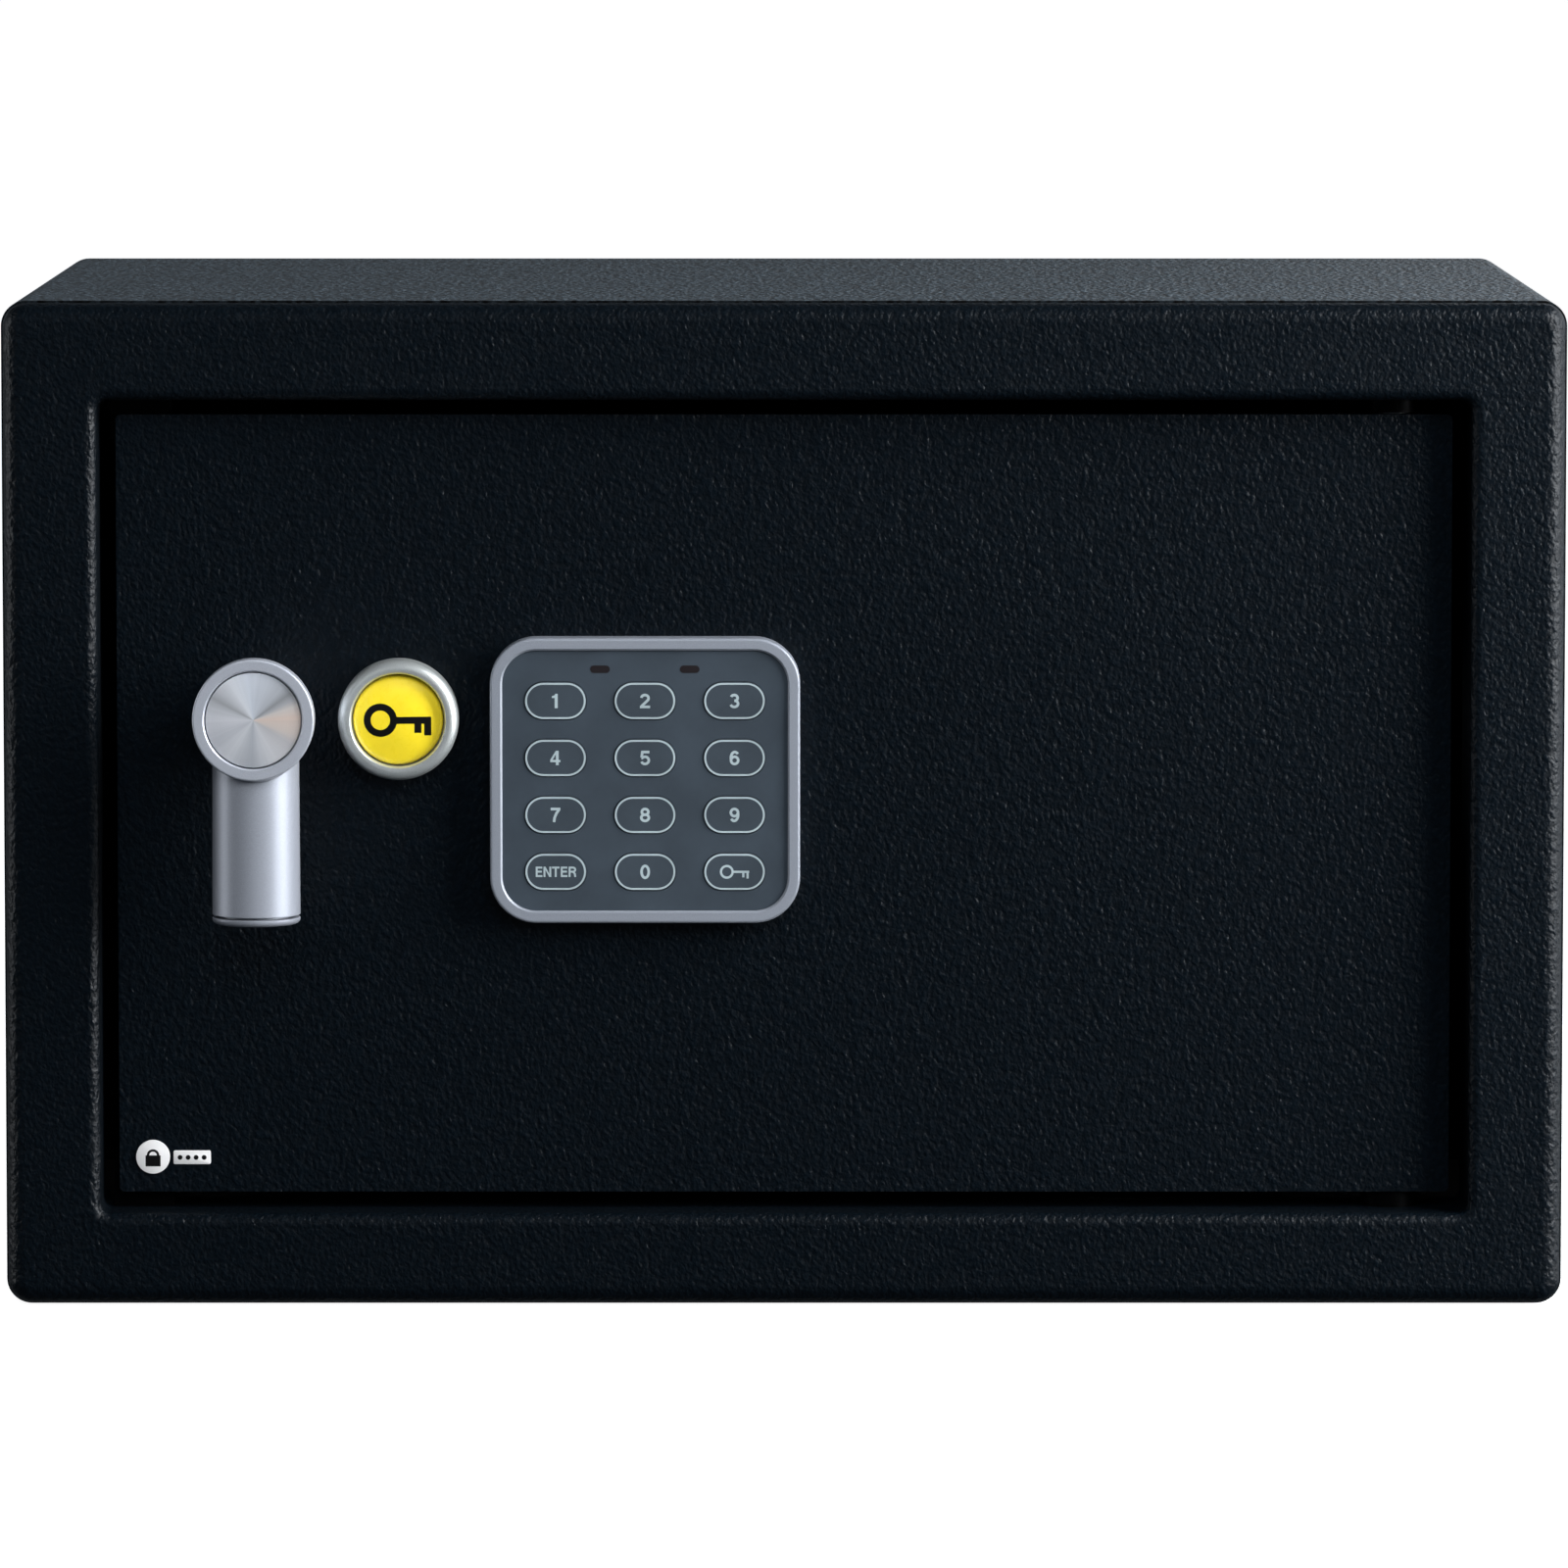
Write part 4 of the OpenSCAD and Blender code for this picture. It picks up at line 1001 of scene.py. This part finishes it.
def tube(bm, points, r, sides=10):
    """A round wire through points."""
    rows = []
    for i, at in enumerate(points):
        ahead = points[min(i + 1, len(points) - 1)] - points[max(i - 1, 0)]
        across = ahead.cross(Vector((0, 0, 1))).normalized()
        up = across.cross(ahead).normalized()
        turns = [TAU * j / sides for j in range(sides)]
        rows.append([bm.verts.new(at + r * (math.cos(t) * across + math.sin(t) * up)) for t in turns])
    for a, b in zip(rows, rows[1:]):
        for j in range(sides):
            k = (j + 1) % sides
            bm.faces.new((a[j], b[j], b[k], a[k]))
    bm.faces.new(rows[0])
    bm.faces.new(rows[-1])


CELLS = 4
CELL_LENGTH = 49.5 * MM
NUB = 1 * MM


def cell_places():
    """The middle of each cell, and 1 or -1 for the way up it stands."""
    low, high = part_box("batteries")
    r = (high.y - low.y) / 2
    pitch = (high.x - low.x - 2 * r) / (CELLS - 1)
    mid = (low + high) / 2
    return [(Vector((low.x + r + i * pitch, mid.y, mid.z)), 1 - 2 * (i % 2)) for i in range(CELLS)]


def batteries():
    """Round cells with a rolled sleeve, a flat end and a raised cap."""
    low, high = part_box("batteries")
    r = (high.y - low.y) / 2
    top = (high.z - low.z) / 2 - NUB
    base = top - CELL_LENGTH
    edge = 0.7 * MM
    rolled = r - 1.5 * MM
    sleeve = [(0, base + 0.1 * MM), (rolled - 0.1 * MM, base + 0.1 * MM), (rolled, base)]
    sleeve += arc(r - edge, base + edge, edge, -90, 0, 6) + arc(r - edge, top - edge, edge, 0, 90, 6)
    sleeve += [(rolled, top), (rolled - 0.1 * MM, top - 0.1 * MM), (0, top - 0.1 * MM)]
    flat_r, cap_r, seal_r = rolled - 0.5 * MM, 2.7 * MM, 4.6 * MM
    flat_end = [(0, base), (flat_r, base), (flat_r, base + 0.3 * MM), (0, base + 0.3 * MM)]
    cap = [(0, top + NUB), (cap_r - 0.3 * MM, top + NUB), (cap_r, top + NUB - 0.3 * MM),
           (cap_r, top + 0.1 * MM), (seal_r, top), (seal_r, top - 0.2 * MM), (0, top - 0.2 * MM)]
    sleeves, ends = bmesh.new(), bmesh.new()
    for centre, way in cell_places():
        lathe(sleeves, [(x, way * along) for x, along in sleeve], centre, "Z", 64)
        for profile in (flat_end, cap):
            lathe(ends, [(x, way * along) for x, along in profile], centre, "Z", 48)
    piece("cell_sleeves", sleeves, "cell_wrap", "door", ["batteries"])
    piece("cell_ends", ends, "zinc_steel", "door")


def battery_contacts():
    """A plate at each end of every cell, one of them with a spring."""
    low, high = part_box("battery_contacts")
    reach = (high.z - low.z) / 2
    sheet = 0.5 * MM
    half = 5 * MM
    gap = 2 * (reach - sheet) - NUB - CELL_LENGTH
    wire = 0.42 * MM
    turns, steps = 4, 96
    bm = bmesh.new()
    for centre, way in cell_places():
        for side in (1, -1):
            z0, z1 = sorted((centre.z + side * reach, centre.z + side * (reach - sheet)))
            block(bm, (centre.x - half, centre.y - half, z0), (centre.x + half, centre.y + half, z1))
        foot = way * (sheet - reach)
        points = []
        for i in range(steps + 1):
            share = i / steps
            turn = TAU * turns * share
            r = (4.1 - 1.5 * share) * MM
            rise = foot + way * (wire + (gap - 2 * wire) * share)
            points.append(centre + Vector((r * math.cos(turn), r * math.sin(turn), rise)))
        tube(bm, points, wire)
    contacts = piece("contact_strips", bm, "contact_plate", "door", ["battery_contacts"])
    bevel(contacts, 0.12 * MM, 2, 60)


def coil():
    """A black bobbin wound with wire."""
    low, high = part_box("solenoid_coil")
    mid = (low + high) / 2
    r = (high.x - low.x) / 2
    half = (high.z - low.z) / 2
    bore = 2.6 * MM
    flange = 1.2 * MM
    pitch = 0.62 * MM
    bm = bmesh.new()
    for side in (-1, 1):
        profile = [(bore, side * half), (r - 0.2 * MM, side * half), (r, side * (half - 0.2 * MM)),
                   (r, side * (half - flange)), (bore, side * (half - flange)), (bore, side * half)]
        lathe(bm, profile, mid, "Z", 64)
    bmesh.ops.remove_doubles(bm, verts=bm.verts, dist=0.001 * MM)
    piece("coil_bobbin", bm, "black_plastic", "door")
    span = 2 * (half - flange) - 0.1 * MM
    count = int(span / pitch)
    profile = [(bore + 0.5 * MM, -span / 2)]
    for i in range(count):
        base = -span / 2 + span * i / count
        profile += [(r - 0.75 * MM, base), (r - 0.55 * MM, base + pitch * 0.25),
                    (r - 0.5 * MM, base + pitch * 0.5), (r - 0.55 * MM, base + pitch * 0.75)]
    profile += [(r - 0.75 * MM, span / 2), (bore + 0.5 * MM, span / 2), (bore + 0.5 * MM, -span / 2)]
    bm = bmesh.new()
    lathe(bm, profile, mid, "Z", 64)
    bmesh.ops.remove_doubles(bm, verts=bm.verts, dist=0.001 * MM)
    piece("coil_winding", bm, "coil_tape", "door", ["solenoid_coil"], 60)


def ribbon_cable():
    """Eight wires side by side."""
    low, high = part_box("keypad_cable")
    wires = 8
    r = (high.z - low.z) / 2
    pitch = (high.x - low.x - 2 * r) / (wires - 1)
    bm = bmesh.new()
    for i in range(wires):
        x = low.x + r + i * pitch
        tube(bm, [Vector((x, y, low.z + r)) for y in (low.y, (low.y + high.y) / 2, high.y)], r, 14)
    piece("ribbon_wires", bm, "ribbon_grey", "door", ["keypad_cable"])


# Relay, chip, connector, reset switch and two small parts: middle, width, height and rise in millimetres
BOARD_BLOCKS = ((-31, 8, 14, 16, 9), (-4, 0, 12, 12, 2), (-27.6, 16, 14, 6, 5), (30, 8, 4, 4, 3),
                (30, -12, 8, 6, 2), (-20, -14, 6, 4, 1.6))


def control_board():
    """A circuit board on four posts with its larger parts."""
    low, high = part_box("control_board")
    post, post_r, sheet = 3 * MM, 2.5 * MM, 1.6 * MM
    face = low.y + post + sheet
    w, h = high.x - low.x, high.z - low.z
    mid = ((low.x + high.x) / 2, (low.z + high.z) / 2)

    def on_board(x, z):
        return mid[0] + x * MM, mid[1] + z * MM

    bm = bmesh.new()
    cushion(bm, round_rect(w, h, 1.5 * MM, 4), [(0, -sheet), (0, 0)], mid, face)
    piece("board_sheet", bm, "board_green", "door", ["control_board"])

    black = bmesh.new()
    for x, z, bw, bh, rise in BOARD_BLOCKS:
        cx, cz = on_board(x, z)
        half_w, half_h = bw / 2 * MM, bh / 2 * MM
        block(black, (cx - half_w, face, cz - half_h), (cx + half_w, face + rise * MM, cz + half_h))
    blacks = piece("board_chips", black, "black_plastic", "door")
    bevel(blacks, 0.3 * MM, 2, 60)

    steel = bmesh.new()
    for x in (-34, 34):
        for z in (-19, 19):
            cx, cz = on_board(x, z)
            lathe(steel, [(0, 0), (post_r, 0), (post_r, post), (0, post)], (cx, low.y + post, cz), "Y-", 24)
            lathe(steel, [(0, 0.9 * MM), (1.9 * MM, 0.9 * MM), (2.2 * MM, 0.6 * MM), (2.2 * MM, 0), (0, 0)],
                  (cx, face + 0.9 * MM, cz), "Y-", 24)
    for i in range(8):
        for side in (-1, 1):
            cx, cz = on_board(-4 + (i - 3.5) * 1.3, side * 6.6)
            leg = Vector((0.2, 0, 0.8)) * MM
            foot = Vector((cx, face, cz))
            block(steel, foot - leg, foot + leg + Vector((0, 0.5 * MM, 0)))
    for x in (8, 17):
        cx, cz = on_board(x, -14)
        tall = 7.5 * MM
        lathe(steel, [(0, -tall), (2.8 * MM, -tall), (3.1 * MM, -tall + 0.3 * MM), (3.1 * MM, 0), (0, 0)],
              (cx, face, cz), "Y-", 40)
    piece("board_metal", steel, "zinc_steel", "door")


# How far the edges of the CAD nodes are broken, in millimetres
EDGES = {
    "door_plate": 0.35, "back_panel": 0.3, "strike_plate": 0.4, "hinge_brackets": 0.4,
    "door_stops": 0.4, "hinge_lugs": 0.5, "hinge_pins": 0.4, "door_studs": 0.3, "inner_cover": 0.7,
    "cover_screws": 0.25, "bolt_guides": 0.3, "solenoid_frame": 0.3, "handle_bush": 0.2,
    "lock_barrel": 0.3, "lock_nut": 0.3, "battery_tray": 0.3, "handle_spindle": 0.3,
    "handle_crank": 0.3, "crank_screw": 0.3, "bolt_carriage": 0.25, "locking_bolts": 0.2, "bolt_screws": 0.3,
    "plunger": 0.3, "key_plug": 0.12, "key_cam": 0.2, "battery_cover": 0.4, "reset_button": 0.3,
    "led_lenses": 0.15, "hinge_washers": 0.2,
}
# The hinge parts and door stops wear a near-black painted shade so they read as the shadowed gap; the shell
# and back panel take the shell coat.
OWN_FINISH = {"body_shell": "shell_black", "back_panel": "shell_black", "hinge_brackets": "gap_shade_black",
              "hinge_lugs": "gap_shade_black", "hinge_washers": "gap_shade_black", "door_stops": "gap_shade_black"}


def carried_over():
    """Every CAD node that stays in view takes the finish of its slot and a broken edge."""
    for name, node in frame["nodes"].items():
        node.data.materials.clear()
        node.data.materials.append(FINISHES[OWN_FINISH.get(name, SLOT_OF[name])])
        if name in EDGES:
            bevel(node, EDGES[name] * MM, 2, 35)


carried_over()
batteries()
battery_contacts()
coil()
ribbon_cable()
control_board()
make_camera()
make_world()
make_floor()
make_lights()
bpy.context.scene.view_settings.view_transform = "Standard"
handle_head()
handle_stem()
handle_tip()
handle_lip()
handle_disc()
key_cover()
keypad_bezel()
keys()
door_badge()
floor_mat()
